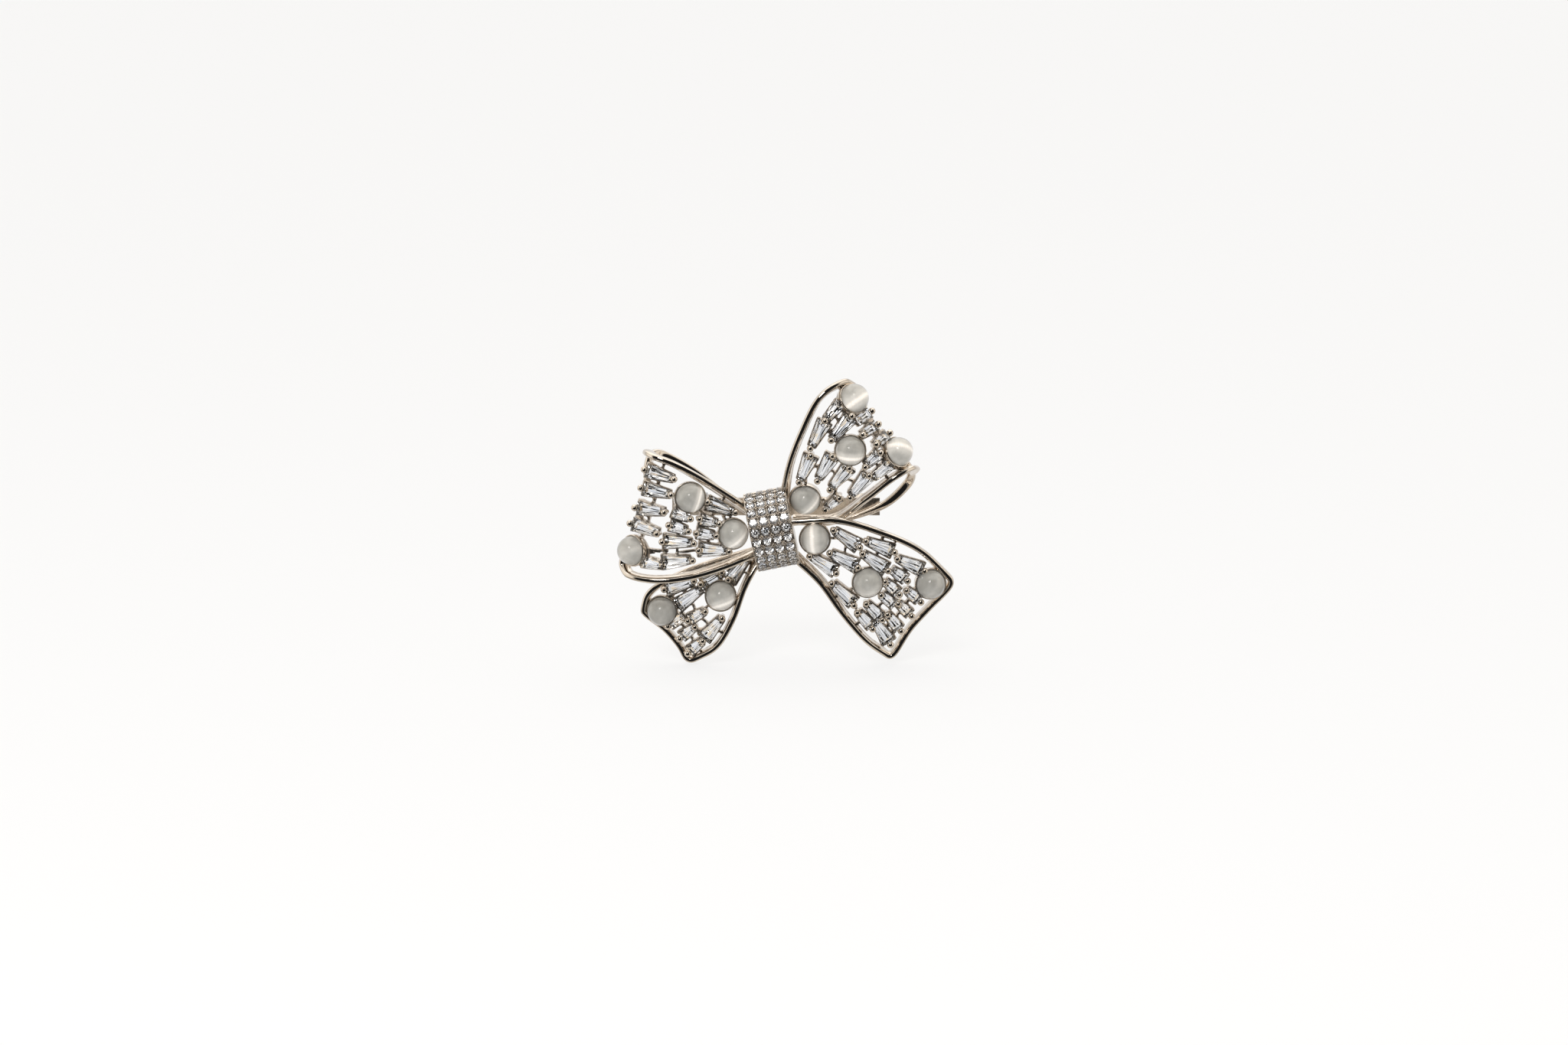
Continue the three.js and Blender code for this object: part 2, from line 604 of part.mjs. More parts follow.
function axleAlongZ(sides, radius, z0, z1) {
  const body = loft([roundRing(sides, radius, z0), roundRing(sides, radius, z1)]);
  return solidOf(body.translate(PIN.hinge_x, PIN.axis_y, 0));
}

function pinBar() {
  const low = PIN.z - BAR.height / 2;
  const high = PIN.z + BAR.height / 2;
  const bar = solidOf(box(BAR.left, BAR.right, BAR.front, BAR.back, low, high));
  return bar.add(solidOf(box(BAR.left, BAR.pad_end, BAR.back - 0.1, BAR.back + BAR.pad, low, high)));
}

function hingeBlock() {
  const half = HINGE.slot / 2 + HINGE.ear;
  const x0 = PIN.hinge_x - HINGE.length / 2;
  const x1 = PIN.hinge_x + HINGE.length / 2;
  const foot = BAR.back + SOLDER_GAP;
  const block = solidOf(box(x0, x1, foot, PIN.axis_y + 0.9, PIN.z - half, PIN.z + half));
  const slot = solidOf(box(x0 - 1, x1 + 1, foot + 0.45, PIN.axis_y + 2,
    PIN.z - HINGE.slot / 2, PIN.z + HINGE.slot / 2));
  return block.subtract(slot).subtract(axleAlongZ(12, HINGE.hole, PIN.z - 3, PIN.z + 3));
}

function hingeRivet() {
  const half = HINGE.slot / 2 + HINGE.ear + SOLDER_GAP;
  const shank = axleAlongZ(12, HINGE.rivet, PIN.z - half - 0.1, PIN.z + half + 0.1);
  const heads = [[PIN.z - half - 0.35, PIN.z - half], [PIN.z + half, PIN.z + half + 0.35]];
  return heads.reduce((rivet, [low, high]) => rivet.add(axleAlongZ(12, HINGE.head, low, high)), shank);
}

function pinStem() {
  const barrel = axleAlongZ(14, HINGE.barrel, PIN.z - HINGE.slot / 2 + 0.07, PIN.z + HINGE.slot / 2 - 0.07);
  const radius = PIN.wire / 2;
  const taperStart = PIN.tip_x - PIN.taper;
  const rings = [
    roundRing(10, radius, PIN.hinge_x + HINGE.hole + 0.15),
    roundRing(10, radius, taperStart),
    roundRing(10, radius * 0.55, PIN.tip_x - PIN.taper * 0.35),
    roundRing(10, 0.07, PIN.tip_x),
  ];
  const wire = loft(rings).rotateX(Math.PI / 2).rotateZ(Math.PI / 2);
  const stem = barrel.add(solidOf(wire.translate(0, PIN.axis_y, PIN.z)));
  return stem.subtract(axleAlongZ(12, HINGE.hole, PIN.z - 3, PIN.z + 3));
}

function catchBody() {
  const x0 = CATCH.x - CATCH.length / 2;
  const x1 = CATCH.x + CATCH.length / 2;
  const foot = BAR.back + SOLDER_GAP;
  let body = axleAlongX(16, CATCH.tube, x0, x1);
  for (const [a, b] of [[x0, x0 + CATCH.flange_width], [x1 - CATCH.flange_width, x1]]) {
    const leg = solidOf(box(a, b, foot, PIN.axis_y - 0.4, PIN.z - CATCH.foot / 2, PIN.z + CATCH.foot / 2));
    body = body.add(axleAlongX(16, CATCH.flange, a, b)).add(leg);
  }
  const mouth = solidOf(box(x0 - 1, x1 + 1, PIN.axis_y, PIN.axis_y + 3,
    PIN.z - CATCH.mouth / 2, PIN.z + CATCH.mouth / 2));
  return body.subtract(axleAlongX(12, CATCH.bore, x0 - 1, x1 + 1)).subtract(mouth);
}

function safetyCollar() {
  const half = CATCH.length / 2 - CATCH.flange_width - COLLAR.play;
  const x0 = CATCH.x - half;
  const x1 = CATCH.x + half;
  const ring = axleAlongX(20, COLLAR.outer, x0, x1).subtract(axleAlongX(20, COLLAR.inner, x0 - 1, x1 + 1));
  const mouth = solidOf(box(x0 - 1, x1 + 1, PIN.axis_y, PIN.axis_y + 3,
    PIN.z - COLLAR.mouth / 2, PIN.z + COLLAR.mouth / 2));
  const tab = box(x0, x1, COLLAR.inner + 0.15, COLLAR.tab_reach, -COLLAR.tab / 2, COLLAR.tab / 2);
  tab.rotateX(COLLAR.tab_angle * Math.PI / 180).translate(0, PIN.axis_y, PIN.z);
  return ring.subtract(mouth).add(solidOf(tab));
}

// ---- assembly -----------------------------------------------------------------------

const METAL = { color: 0xbdb6ab, roughness: 0.18, metalness: 1.0 };
const CATS_EYE = { color: 0xb3afa5, roughness: 0.2, metalness: 0.0 };
const ZIRCONIA = { color: 0xdfe6ec, roughness: 0.05, metalness: 0.0 };

const brooch = new THREE.Group();
const body = new THREE.Group();
body.position.set(-1.6, -PIN.axis_y, -PIN.z);   // the middle of the pin lies at the origin
brooch.add(body);

function addPiece(name, geometry, look) {
  const mesh = new THREE.Mesh(geometry, new THREE.MeshStandardMaterial(look));
  mesh.name = name;
  body.add(mesh);
  return mesh;
}

const knotEnvelope = knotSolid(knotOutline(-SOLDER_GAP, KNOT.back), KNOT.width + 2 * SOLDER_GAP);

for (const name of Object.keys(RIBBONS)) {
  const stones = stonesOf(name);
  addPiece(name, geometryOf(ribbonCasting(name, stones, knotEnvelope)), METAL);
  for (const stone of stones.filter((each) => each.name)) {
    const shape = stone.cut ? baguetteGeometry(stone.cut) : cabochonGeometry();
    const piece = addPiece(stone.name, geometryOf(solidOf(shape)), stone.cut ? ZIRCONIA : CATS_EYE);
    piece.applyMatrix4(stone.frame);
  }
}
addPiece('left_loop_return', geometryOf(returnCasting('left_loop', knotEnvelope)), METAL);
addPiece('right_loop_return', geometryOf(returnCasting('right_loop', knotEnvelope)), METAL);
addPiece('knot_band', geometryOf(knotSolid(knotBandPoints(), KNOT.width)), METAL);
addPiece('knot_core', geometryOf(
  knotSolid(knotOutline(KNOT.thickness + SOLDER_GAP, KNOT.back), KNOT.width)), METAL);
addPiece('pin_bar', geometryOf(pinBar()), METAL);
addPiece('pin_hinge_block', geometryOf(hingeBlock()), METAL);
addPiece('pin_hinge_rivet', geometryOf(hingeRivet()), METAL);
addPiece('pin_stem', geometryOf(pinStem()), METAL);
addPiece('catch_body', geometryOf(catchBody()), METAL);
addPiece('safety_collar', geometryOf(safetyCollar()), METAL);

export default brooch;
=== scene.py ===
import math

import bmesh
import bpy
import numpy as np
from mathutils import Matrix, Vector


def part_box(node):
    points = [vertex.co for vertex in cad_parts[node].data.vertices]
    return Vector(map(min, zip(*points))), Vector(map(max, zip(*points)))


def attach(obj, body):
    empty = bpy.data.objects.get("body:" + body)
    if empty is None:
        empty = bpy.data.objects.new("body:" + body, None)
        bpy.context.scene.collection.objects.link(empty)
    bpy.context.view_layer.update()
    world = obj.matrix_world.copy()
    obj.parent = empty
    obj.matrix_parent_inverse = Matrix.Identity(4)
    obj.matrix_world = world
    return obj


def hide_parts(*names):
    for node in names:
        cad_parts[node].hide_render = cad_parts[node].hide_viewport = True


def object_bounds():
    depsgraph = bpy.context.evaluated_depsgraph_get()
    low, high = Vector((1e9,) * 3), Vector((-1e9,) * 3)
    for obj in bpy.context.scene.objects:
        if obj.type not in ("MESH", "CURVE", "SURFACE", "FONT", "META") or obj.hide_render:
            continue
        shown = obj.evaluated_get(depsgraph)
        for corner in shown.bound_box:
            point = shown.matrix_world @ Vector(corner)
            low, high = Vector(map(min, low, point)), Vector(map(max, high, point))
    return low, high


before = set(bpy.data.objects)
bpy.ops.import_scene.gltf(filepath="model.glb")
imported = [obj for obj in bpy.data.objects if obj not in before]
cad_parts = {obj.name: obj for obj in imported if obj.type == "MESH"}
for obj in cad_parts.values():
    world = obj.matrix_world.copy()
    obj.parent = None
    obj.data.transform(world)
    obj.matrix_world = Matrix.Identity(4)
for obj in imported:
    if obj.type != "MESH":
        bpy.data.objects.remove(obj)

bl_info = {
    "name": "Ribbon bow brooch",
    "version": (1, 0, 0),
    "blender": (4, 5, 0),
    "location": "3D View > Sidebar > Brooch",
    "description": "Finishes a jewelled ribbon-bow brooch round its engineering model",
    "category": "Object",
}

CAD_BOX = [list(corner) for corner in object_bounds()]
MM = 0.001
FIXED = "brooch"                # the body that everything but the pin and the collar rides on

# The bow is drawn about the middle of its knot. The knot band's box says where that is.
KNOT_MIDDLE = (-0.27, -0.5)     # X and Z of the knot in the bow's own millimetres
KNOT_FRONT = -6.2               # and its foremost Y


def bow_origin():
    low, high = (Vector(corner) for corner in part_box("knot_band"))
    middle = (low + high) / 2
    return Vector((middle.x - KNOT_MIDDLE[0] * MM, low.y - KNOT_FRONT * MM, middle.z - KNOT_MIDDLE[1] * MM))


ORIGIN = np.array(bow_origin())


# ---- the ribbons ------------------------------------------------------------------------
# Each ribbon lies between an upper and a lower edge, as the castings do. Stations count
# along the edge points, and a share runs from the upper edge, 0, to the lower edge, 1.

ROOT = -0.1                     # where ribbons start, a little inside the knot
FOLD = 4.75                     # where a loop's front casting meets its return
RETURN_END = 8.9
TAIL_END = 4.0
TAIL_BLEND = 3.4                # from here a tail runs out to its cut end

EDGES = {
    "left_loop": {
        "crown": 0.7,
        "upper": [(-2.6, -1.6, 1.5), (-6.5, -3.0, 4.5), (-10.1, -4.0, 7.0), (-13.4, -4.3, 8.9),
                  (-16.3, -3.6, 10.0), (-17.0, -1.0, 10.3), (-15.3, 1.3, 10.1), (-11.1, 2.0, 7.7),
                  (-6.5, 2.0, 4.1), (-2.6, 1.6, 1.2)],
        "lower": [(-2.6, -1.8, -3.6), (-6.8, -3.2, -5.2), (-11.2, -4.2, -6.4), (-15.4, -4.4, -6.9),
                  (-18.9, -3.4, -6.7), (-20.7, -0.8, -5.9), (-18.6, 1.5, -4.7), (-13.0, 2.1, -3.9),
                  (-7.2, 2.0, -2.9), (-2.6, 1.6, -2.0)],
    },
    "right_loop": {
        "crown": 0.7,
        "upper": [(1.5, -1.4, 3.8), (2.25, -3.0, 8.8), (3.9, -4.1, 13.5), (6.1, -4.2, 17.9),
                  (8.9, -3.0, 19.8), (10.6, -0.5, 19.0), (10.4, 1.6, 16.0), (8.3, 2.1, 10.35),
                  (5.8, 2.0, 4.7), (3.0, 1.6, 1.4)],
        "lower": [(3.2, -0.2, 0.7), (8.4, -0.7, 0.95), (12.6, -2.9, 4.2), (15.9, -3.8, 6.9),
                  (18.3, -2.8, 8.0), (19.5, -0.4, 6.9), (18.7, 1.4, 4.8), (15.3, 2.0, 1.9),
                  (9.6, 2.0, 0.1), (4.5, 1.6, -0.6)],
    },
    "left_tail": {
        "crown": 0.5,
        "upper": [(-2.9, 0.9, -4.3), (-8.2, 0.0, -5.5), (-12.9, -0.5, -7.0), (-16.7, -0.2, -9.2),
                  (-18.1, 0.4, -11.75)],
        "lower": [(-2.3, -0.2, -4.9), (-4.2, -1.2, -8.8), (-5.6, -1.5, -12.8), (-7.6, -0.9, -16.5),
                  (-10.4, 0.0, -18.7)],
        "end": [(-18.1, 0.4, -11.75), (-17.4, 0.5, -12.7), (-15.0, 0.6, -14.6), (-13.0, 0.5, -16.9),
                (-11.8, 0.2, -18.8), (-10.4, 0.0, -18.7)],
    },
    "right_tail": {
        "crown": 0.6,
        "upper": [(2.9, -2.4, 0.7), (8.6, -2.7, 0.95), (14.2, -2.7, -0.55), (19.6, -1.8, -3.05),
                  (23.4, -0.4, -6.5)],
        "lower": [(3.2, -1.2, -4.35), (6.6, -1.8, -7.7), (9.4, -1.8, -11.8), (12.4, -1.0, -15.6),
                  (15.2, 0.4, -18.15)],
        "end": [(23.4, -0.4, -6.5), (24.2, -0.2, -8.3), (21.2, 0.2, -11.7), (18.6, 0.4, -14.7),
                (16.4, 0.5, -18.2), (15.2, 0.4, -18.15)],
    },
}

# The smallest tapered stones, which have no node of their own: station, share, turn in
# degrees off the ribbon's run, and cut.
SMALL_STONES = {
    "left_loop": [(1.59, 0.40, -2, "short"), (1.66, 0.55, -3, "short"), (2.57, 0.40, -8, "short"),
                  (2.60, 0.52, -8, "short")],
    "right_loop": [(1.28, 0.77, 0, "short"), (3.01, 0.74, 4, "short"), (3.85, 0.37, 11, "short"),
                   (3.69, 0.50, 6, "short"), (3.85, 0.63, 16, "short")],
    "left_tail": [(2.66, 0.58, -18, "short"), (3.30, 0.45, -16, "short"), (3.38, 0.64, -5, "short"),
                  (3.58, 0.81, -22, "short")],
    "right_tail": [(2.92, 0.44, -6, "short"), (2.92, 0.30, -2, "short"), (2.72, 0.86, -2, "mid"),
                   (3.54, 0.38, -6, "short"), (3.52, 0.67, 10, "mid")],
}
CUTS = {"long": (3.85, 2.05, 1.05), "mid": (2.85, 1.65, 1.10), "short": (2.35, 1.60, 1.10)}
# A tapered stone's rings from table to keel: end inset, share of its width, and height.
STEP_CUT = [(0.46, 0.46, 0.44), (0.33, 0.62, 0.375), (0.18, 0.80, 0.26), (0.0, 1.0, 0.06),
            (0.0, 1.0, -0.06), (0.22, 0.74, -0.34), (0.46, 0.44, -0.60), (0.75, 0.08, -0.80)]
GIRDLE_LIFT = 0.58              # girdle plane of a tapered stone over the gallery

# Each cabochon's painted sheen band, a bright stripe painted into its colour and glow, seen from the front:
# its angle from the horizontal, where its middle lies in stone radii (right, up), its width, how
# bright the painted sheen is, and the stone's tone.
SHEEN_BANDS = {
    "cabochon_left_loop_1": (42, (0.1, -0.35), 1.0, 0.85, 0.95),
    "cabochon_left_loop_2": (72, (0.55, 0.0), 0.7, 0.95, 0.9),
    "cabochon_left_loop_3": (25, (0.0, -0.3), 1.3, 0.28, 0.95),
    "cabochon_right_loop_1": (45, (0.3, -0.3), 0.9, 0.85, 0.88),
    "cabochon_right_loop_2": (-3, (0.0, -0.40), 1.0, 1.0, 0.9),
    "cabochon_right_loop_3": (35, (0.0, -0.30), 1.25, 1.0, 1.0),
    "cabochon_right_loop_4": (-8, (0.0, -0.05), 1.3, 0.9, 1.0),
    "cabochon_left_tail_1": (20, (0.1, -0.55), 0.95, 0.85, 0.95),
    "cabochon_left_tail_2": (60, (0.2, -0.3), 1.2, 0.12, 0.8),
    "cabochon_right_tail_1": (95, (-0.12, 0.0), 1.15, 0.9, 0.95),
    "cabochon_right_tail_2": (10, (0.1, -0.6), 1.3, 0.4, 0.95),
    "cabochon_right_tail_3": (60, (0.2, 0.2), 1.2, 0.14, 0.82),
}

RIBS_PER_STONE = 2              # ribs to the nearest stones
RIB_REACH = 2.05                # a rail this near a stone's middle gets a rib
RIB_WIDTH = 0.38
RAIL_SEAT = 0.5                 # how far a gallery reaches in from a ribbon's edges
GALLERY_DEPTH = 0.55            # how far a gallery reaches back from the ribbon's surface
SEAT_RISE = 0.42                # height of the seat wall round a stone
CABOCHON_LEDGE = 0.7            # how far a gallery reaches in under a cabochon
STONE_LEDGE = 0.22              # and under a tapered stone
LOOP_RIBS_END = 4.6             # the last station where ribs and prongs look for a loop's rails
TAIL_RIBS_END = 3.9

# Bars that cross a gallery: the ribbon, and the bar's (station, share) points.
GALLERY_BARS = [
    ("left_loop", [(4.5, 0.79), (3.6, 0.78), (2.2, 0.745), (1.2, 0.71)]),
    ("left_loop", [(4.5, 0.755), (3.6, 0.75), (2.9, 0.745)]),
]


def along(points, station):
    """Points on a smooth curve through the given ones, at each station."""
    points = np.asarray(points, dtype=float)
    station = np.atleast_1d(np.asarray(station, dtype=float))
    last = len(points) - 1
    i = np.clip(np.floor(station).astype(int), 0, last - 1)
    t = (station - i)[:, None]
    start = points[i]
    stop = points[i + 1]
    before = np.where((i > 0)[:, None], points[np.maximum(i - 1, 0)], 2 * start - stop)
    after = np.where((i + 2 <= last)[:, None], points[np.minimum(i + 2, last)], 2 * stop - start)
    return (before * (-t + 2 * t ** 2 - t ** 3) + start * (2 - 5 * t ** 2 + 3 * t ** 3)
            + stop * (t + 4 * t ** 2 - 3 * t ** 3) + after * (-t ** 2 + t ** 3)) / 2


def surface(name, station, share):
    """Points of a ribbon's gallery surface, in the bow's millimetres."""
    edges = EDGES[name]
    station, share = np.broadcast_arrays(np.atleast_1d(station).astype(float),
                                         np.atleast_1d(share).astype(float))
    k = share[:, None]
    if "end" in edges:
        inner = np.minimum(station, TAIL_BLEND)
        point = along(edges["upper"], inner) * (1 - k) + along(edges["lower"], inner) * k
        reach = np.clip((station - TAIL_BLEND) / (TAIL_END - TAIL_BLEND), 0, None)[:, None]
        last = len(edges["end"]) - 1
        point = point * (1 - reach) + along(edges["end"], share * last) * reach
    else:
        point = along(edges["upper"], station) * (1 - k) + along(edges["lower"], station) * k
    point[:, 1] -= 4 * edges["crown"] * share * (1 - share)
    return point


def lengths_along(points):
    """Each point's distance from the first one, along the path."""
    return np.concatenate([[0], np.cumsum(np.linalg.norm(np.diff(points, axis=0), axis=1))])


def at_lengths(values, lengths, wanted):
    """Values given along a path, at other lengths of it."""
    return np.stack([np.interp(wanted, lengths, column) for column in values.T], axis=1)


def unit(vectors):
    return vectors / np.linalg.norm(vectors, axis=1)[:, None]


def surface_axes(name, station, share):
    """The run along a ribbon, and the direction out of its front."""
    step = 0.02
    station, share = np.broadcast_arrays(np.atleast_1d(station).astype(float),
                                         np.atleast_1d(share).astype(float))
    run = surface(name, station + step, share) - surface(name, station - step, share)
    across = surface(name, station, np.minimum(share + step, 1)) - surface(
        name, station, np.maximum(share - step, 0))
    facing = -1 if name.startswith("left") else 1
    return unit(run), unit(facing * np.cross(across, run))


def nearest_place(name, point, top):
    """The station and share of the ribbon place nearest to a point."""
    stations, shares = np.meshgrid(np.linspace(0.1, top, 90), np.linspace(0.02, 0.98, 49), indexing="ij")
    grid = surface(name, stations.ravel(), shares.ravel())
    best = np.argmin(((grid - point) ** 2).sum(axis=1))
    return stations.ravel()[best], shares.ravel()[best]


def to_frame(points):
    """The bow's millimetres, as metres in the shared frame."""
    return np.asarray(points) * MM + ORIGIN


def to_bow(points):
    return (np.asarray(points) - ORIGIN) / MM


# ---- stones read from the frame ----------------------------------------------------------

class Stone:
    """A set stone: its middle on the gallery side, its three axes and its outline."""

    def __init__(self, name, ribbon, origin, run, out, cut):
        self.name = name
        self.ribbon = ribbon
        self.origin = np.asarray(origin)
        self.out = np.asarray(out)
        self.run = unit((run - self.out * np.dot(run, self.out))[None])[0]
        self.side = np.cross(self.out, self.run)
        self.cut = cut

    def local(self, points):
        offset = points - self.origin
        return np.stack([offset @ self.run, offset @ self.side, offset @ self.out], axis=-1)

    def clearance(self, points):
        """How far outside the stone's outline each point lies; negative inside."""
        local = self.local(points)
        if self.cut is None:
            gap = np.hypot(local[:, 0], local[:, 1]) - 2.0
        else:
            length, wide, narrow = self.cut
            share = np.clip(local[:, 0] / length + 0.5, 0, 1)
            half = (narrow + (wide - narrow) * share) / 2
            dx = np.abs(local[:, 0]) - length / 2
            dy = np.abs(local[:, 1]) - half
            outside = np.hypot(np.maximum(dx, 0), np.maximum(dy, 0))
            gap = np.where((dx > 0) | (dy > 0), outside, np.maximum(dx, dy))
        return np.where(np.abs(local[:, 2]) > 2.2, 99.0, gap)

    def matrix(self, height=0.0):
        origin = to_frame(self.origin + self.out * height)
        columns = [Vector(self.run), Vector(self.side), Vector(self.out)]
        turn = Matrix(columns).transposed().to_4x4()
        return Matrix.Translation(Vector(origin)) @ turn @ Matrix.Scale(MM, 4)


def node_points(node):
    """A node's own corner points, in the bow's millimetres."""
    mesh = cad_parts[node].data
    points = np.empty(3 * len(mesh.vertices))
    mesh.vertices.foreach_get("co", points)
    return np.unique(np.round(to_bow(points.reshape(-1, 3)), 4), axis=0)


def ribbon_of(node):
    return next(name for name in EDGES if node.split("_", 1)[1].startswith(name))


def cabochon_stone(node):
    """A cabochon's place: its flat base is the plane of its lowest ring."""
    ribbon = ribbon_of(node)
    points = node_points(node)
    middle = (points.min(axis=0) + points.max(axis=0)) / 2
    station, share = nearest_place(ribbon, middle, 4.7)
    run, out = (axis[0] for axis in surface_axes(ribbon, station, share))
    for _ in range(3):
        height = (points - middle) @ out
        base = points[height < height.min() + 0.35]
        base_middle = base.mean(axis=0)
        normal = np.linalg.svd(base - base_middle)[2][2]
        out = normal * np.sign(np.dot(normal, out))
    height = (points - base_middle) @ out
    ring = points[height < height.min() + 0.2]
    return Stone(node, ribbon, ring.mean(axis=0), run, out, None)


def baguette_stone(node):
    """A tapered stone's place: its length is the long way of its points."""
    ribbon = ribbon_of(node)
    points = node_points(node)
    middle = points.mean(axis=0)
    run = np.linalg.svd(points - middle)[2][0]
    station, share = nearest_place(ribbon, middle, 4.5)
    along_ribbon, out = (axis[0] for axis in surface_axes(ribbon, station, share))
    run = run * np.sign(np.dot(run, along_ribbon))
    extent = (points - middle) @ run
    length = extent.max() - extent.min()
    cut = min(CUTS.values(), key=lambda sizes: abs(sizes[0] - length))
    ends = (extent.max() + extent.min()) / 2
    girdle = points[np.abs(np.abs(extent - ends) - length / 2) < 0.02]
    centre = np.array([girdle[(girdle - middle) @ run > 0].mean(axis=0),
                       girdle[(girdle - middle) @ run < 0].mean(axis=0)]).mean(axis=0)
    return Stone(node, ribbon, centre - out * GIRDLE_LIFT, run, out, cut)


def small_stone(ribbon, index, place):
    station, share, turn, cut = place
    run, out = (axis[0] for axis in surface_axes(ribbon, station, share))
    side = np.cross(out, run)
    angle = math.radians(turn)
    turned = run * math.cos(angle) + side * math.sin(angle)
    origin = surface(ribbon, station, share)[0]
    return Stone(f"small_{ribbon}_{index}", ribbon, origin, turned, out, CUTS[cut])


def read_stones():
    """Every ribbon's stones: the named ones from their nodes, and the smallest ones."""
    stones = {name: [] for name in EDGES}
    for node in sorted(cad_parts):
        if node.startswith("cabochon"):
            stones[ribbon_of(node)].append(cabochon_stone(node))
        elif node.startswith("baguette"):
            stones[ribbon_of(node)].append(baguette_stone(node))
    for name, places in SMALL_STONES.items():
        stones[name] += [small_stone(name, index, place) for index, place in enumerate(places, 1)]
    return stones


STONES = read_stones()


# ---- meshes -------------------------------------------------------------------------------

def new_piece(name, vertices, faces, material, smooth=True):
    """A finished piece at the origin, from points in metres."""
    mesh = bpy.data.meshes.new(name)
    mesh.from_pydata([tuple(point) for point in vertices], [], faces)
    mesh.validate()
    outward = bmesh.new()
    outward.from_mesh(mesh)
    bmesh.ops.remove_doubles(outward, verts=outward.verts, dist=1e-7)
    bmesh.ops.recalc_face_normals(outward, faces=outward.faces)
    outward.to_mesh(mesh)
    outward.free()
    mesh.materials.append(material)
    mesh.polygons.foreach_set("use_smooth", [smooth] * len(mesh.polygons))
    piece = bpy.data.objects.new(name, mesh)
    bpy.context.scene.collection.objects.link(piece)
    return piece


def loft(rings, caps=True):
    """Vertices and faces of a skin through equal rings of points."""
    count = len(rings[0])
    vertices = [point for ring in rings for point in ring]
    faces = []
    for r in range(len(rings) - 1):
        for k in range(count):
            a = r * count + k
            b = r * count + (k + 1) % count
            faces.append((a, b, b + count, a + count))
    if caps:
        faces.append(tuple(range(count))[::-1])
        faces.append(tuple((len(rings) - 1) * count + k for k in range(count)))
    return vertices, faces


def join_parts(parts):
    """Vertices and faces of several closed skins as one."""
    vertices = []
    faces = []
    for part_vertices, part_faces in parts:
        shift = len(vertices)
        vertices.extend(part_vertices)
        faces.extend(tuple(index + shift for index in face) for face in part_faces)
    return vertices, faces


def shade_by_angle(piece, degrees):
    """Marks edges sharper than an angle, so that flats stay flat between round edges."""
    work = bmesh.new()
    work.from_mesh(piece.data)
    limit = math.radians(degrees)
    for edge in work.edges:
        edge.smooth = not (len(edge.link_faces) == 2 and edge.calc_face_angle(0.0) > limit)
    for face in work.faces:
        face.smooth = True
    work.to_mesh(piece.data)
    work.free()


# ---- node trees ---------------------------------------------------------------------------

class Tree:
    """Short calls for building a node tree."""

    def __init__(self, tree):
        self.tree = tree

    def add(self, kind, **values):
        node = self.tree.nodes.new(kind)
        for key, value in values.items():
            setattr(node, key, value)
        return node

    def link(self, source, target):
        self.tree.links.new(source, target)


def geometry_tree(name):
    """An empty geometry tree: its points, the piece it repeats or sweeps, a material and a size."""
    tree = bpy.data.node_groups.new(name, "GeometryNodeTree")
    tree.interface.new_socket(name="Points", in_out="INPUT", socket_type="NodeSocketGeometry")
    tree.interface.new_socket(name="Piece", in_out="INPUT", socket_type="NodeSocketObject")
    tree.interface.new_socket(name="Material", in_out="INPUT", socket_type="NodeSocketMaterial")
    size = tree.interface.new_socket(name="Size", in_out="INPUT", socket_type="NodeSocketFloat")
    size.default_value = 1.0
    tree.interface.new_socket(name="Result", in_out="OUTPUT", socket_type="NodeSocketGeometry")
    return tree


def setting_tree():
    """Sets one copy of a shape on each point, turned by the point's attribute."""
    name = "Set on points"
    if name in bpy.data.node_groups:
        return bpy.data.node_groups[name]
    tree = geometry_tree(name)
    t = Tree(tree)
    start = t.add("NodeGroupInput")
    shape = t.add("GeometryNodeObjectInfo", transform_space="ORIGINAL")
    turn = t.add("GeometryNodeInputNamedAttribute", data_type="FLOAT_VECTOR")
    turn.inputs["Name"].default_value = "turn"
    rotation = t.add("FunctionNodeEulerToRotation")
    place = t.add("GeometryNodeInstanceOnPoints")
    realize = t.add("GeometryNodeRealizeInstances")
    finish = t.add("GeometryNodeSetMaterial")
    end = t.add("NodeGroupOutput")
    t.link(start.outputs["Piece"], shape.inputs["Object"])
    t.link(turn.outputs["Attribute"], rotation.inputs["Euler"])
    t.link(start.outputs["Points"], place.inputs["Points"])
    t.link(shape.outputs["Geometry"], place.inputs["Instance"])
    t.link(rotation.outputs["Rotation"], place.inputs["Rotation"])
    t.link(start.outputs["Size"], place.inputs["Scale"])
    t.link(place.outputs["Instances"], realize.inputs["Geometry"])
    t.link(realize.outputs["Geometry"], finish.inputs["Geometry"])
    t.link(start.outputs["Material"], finish.inputs["Material"])
    t.link(finish.outputs["Geometry"], end.inputs["Result"])
    return tree


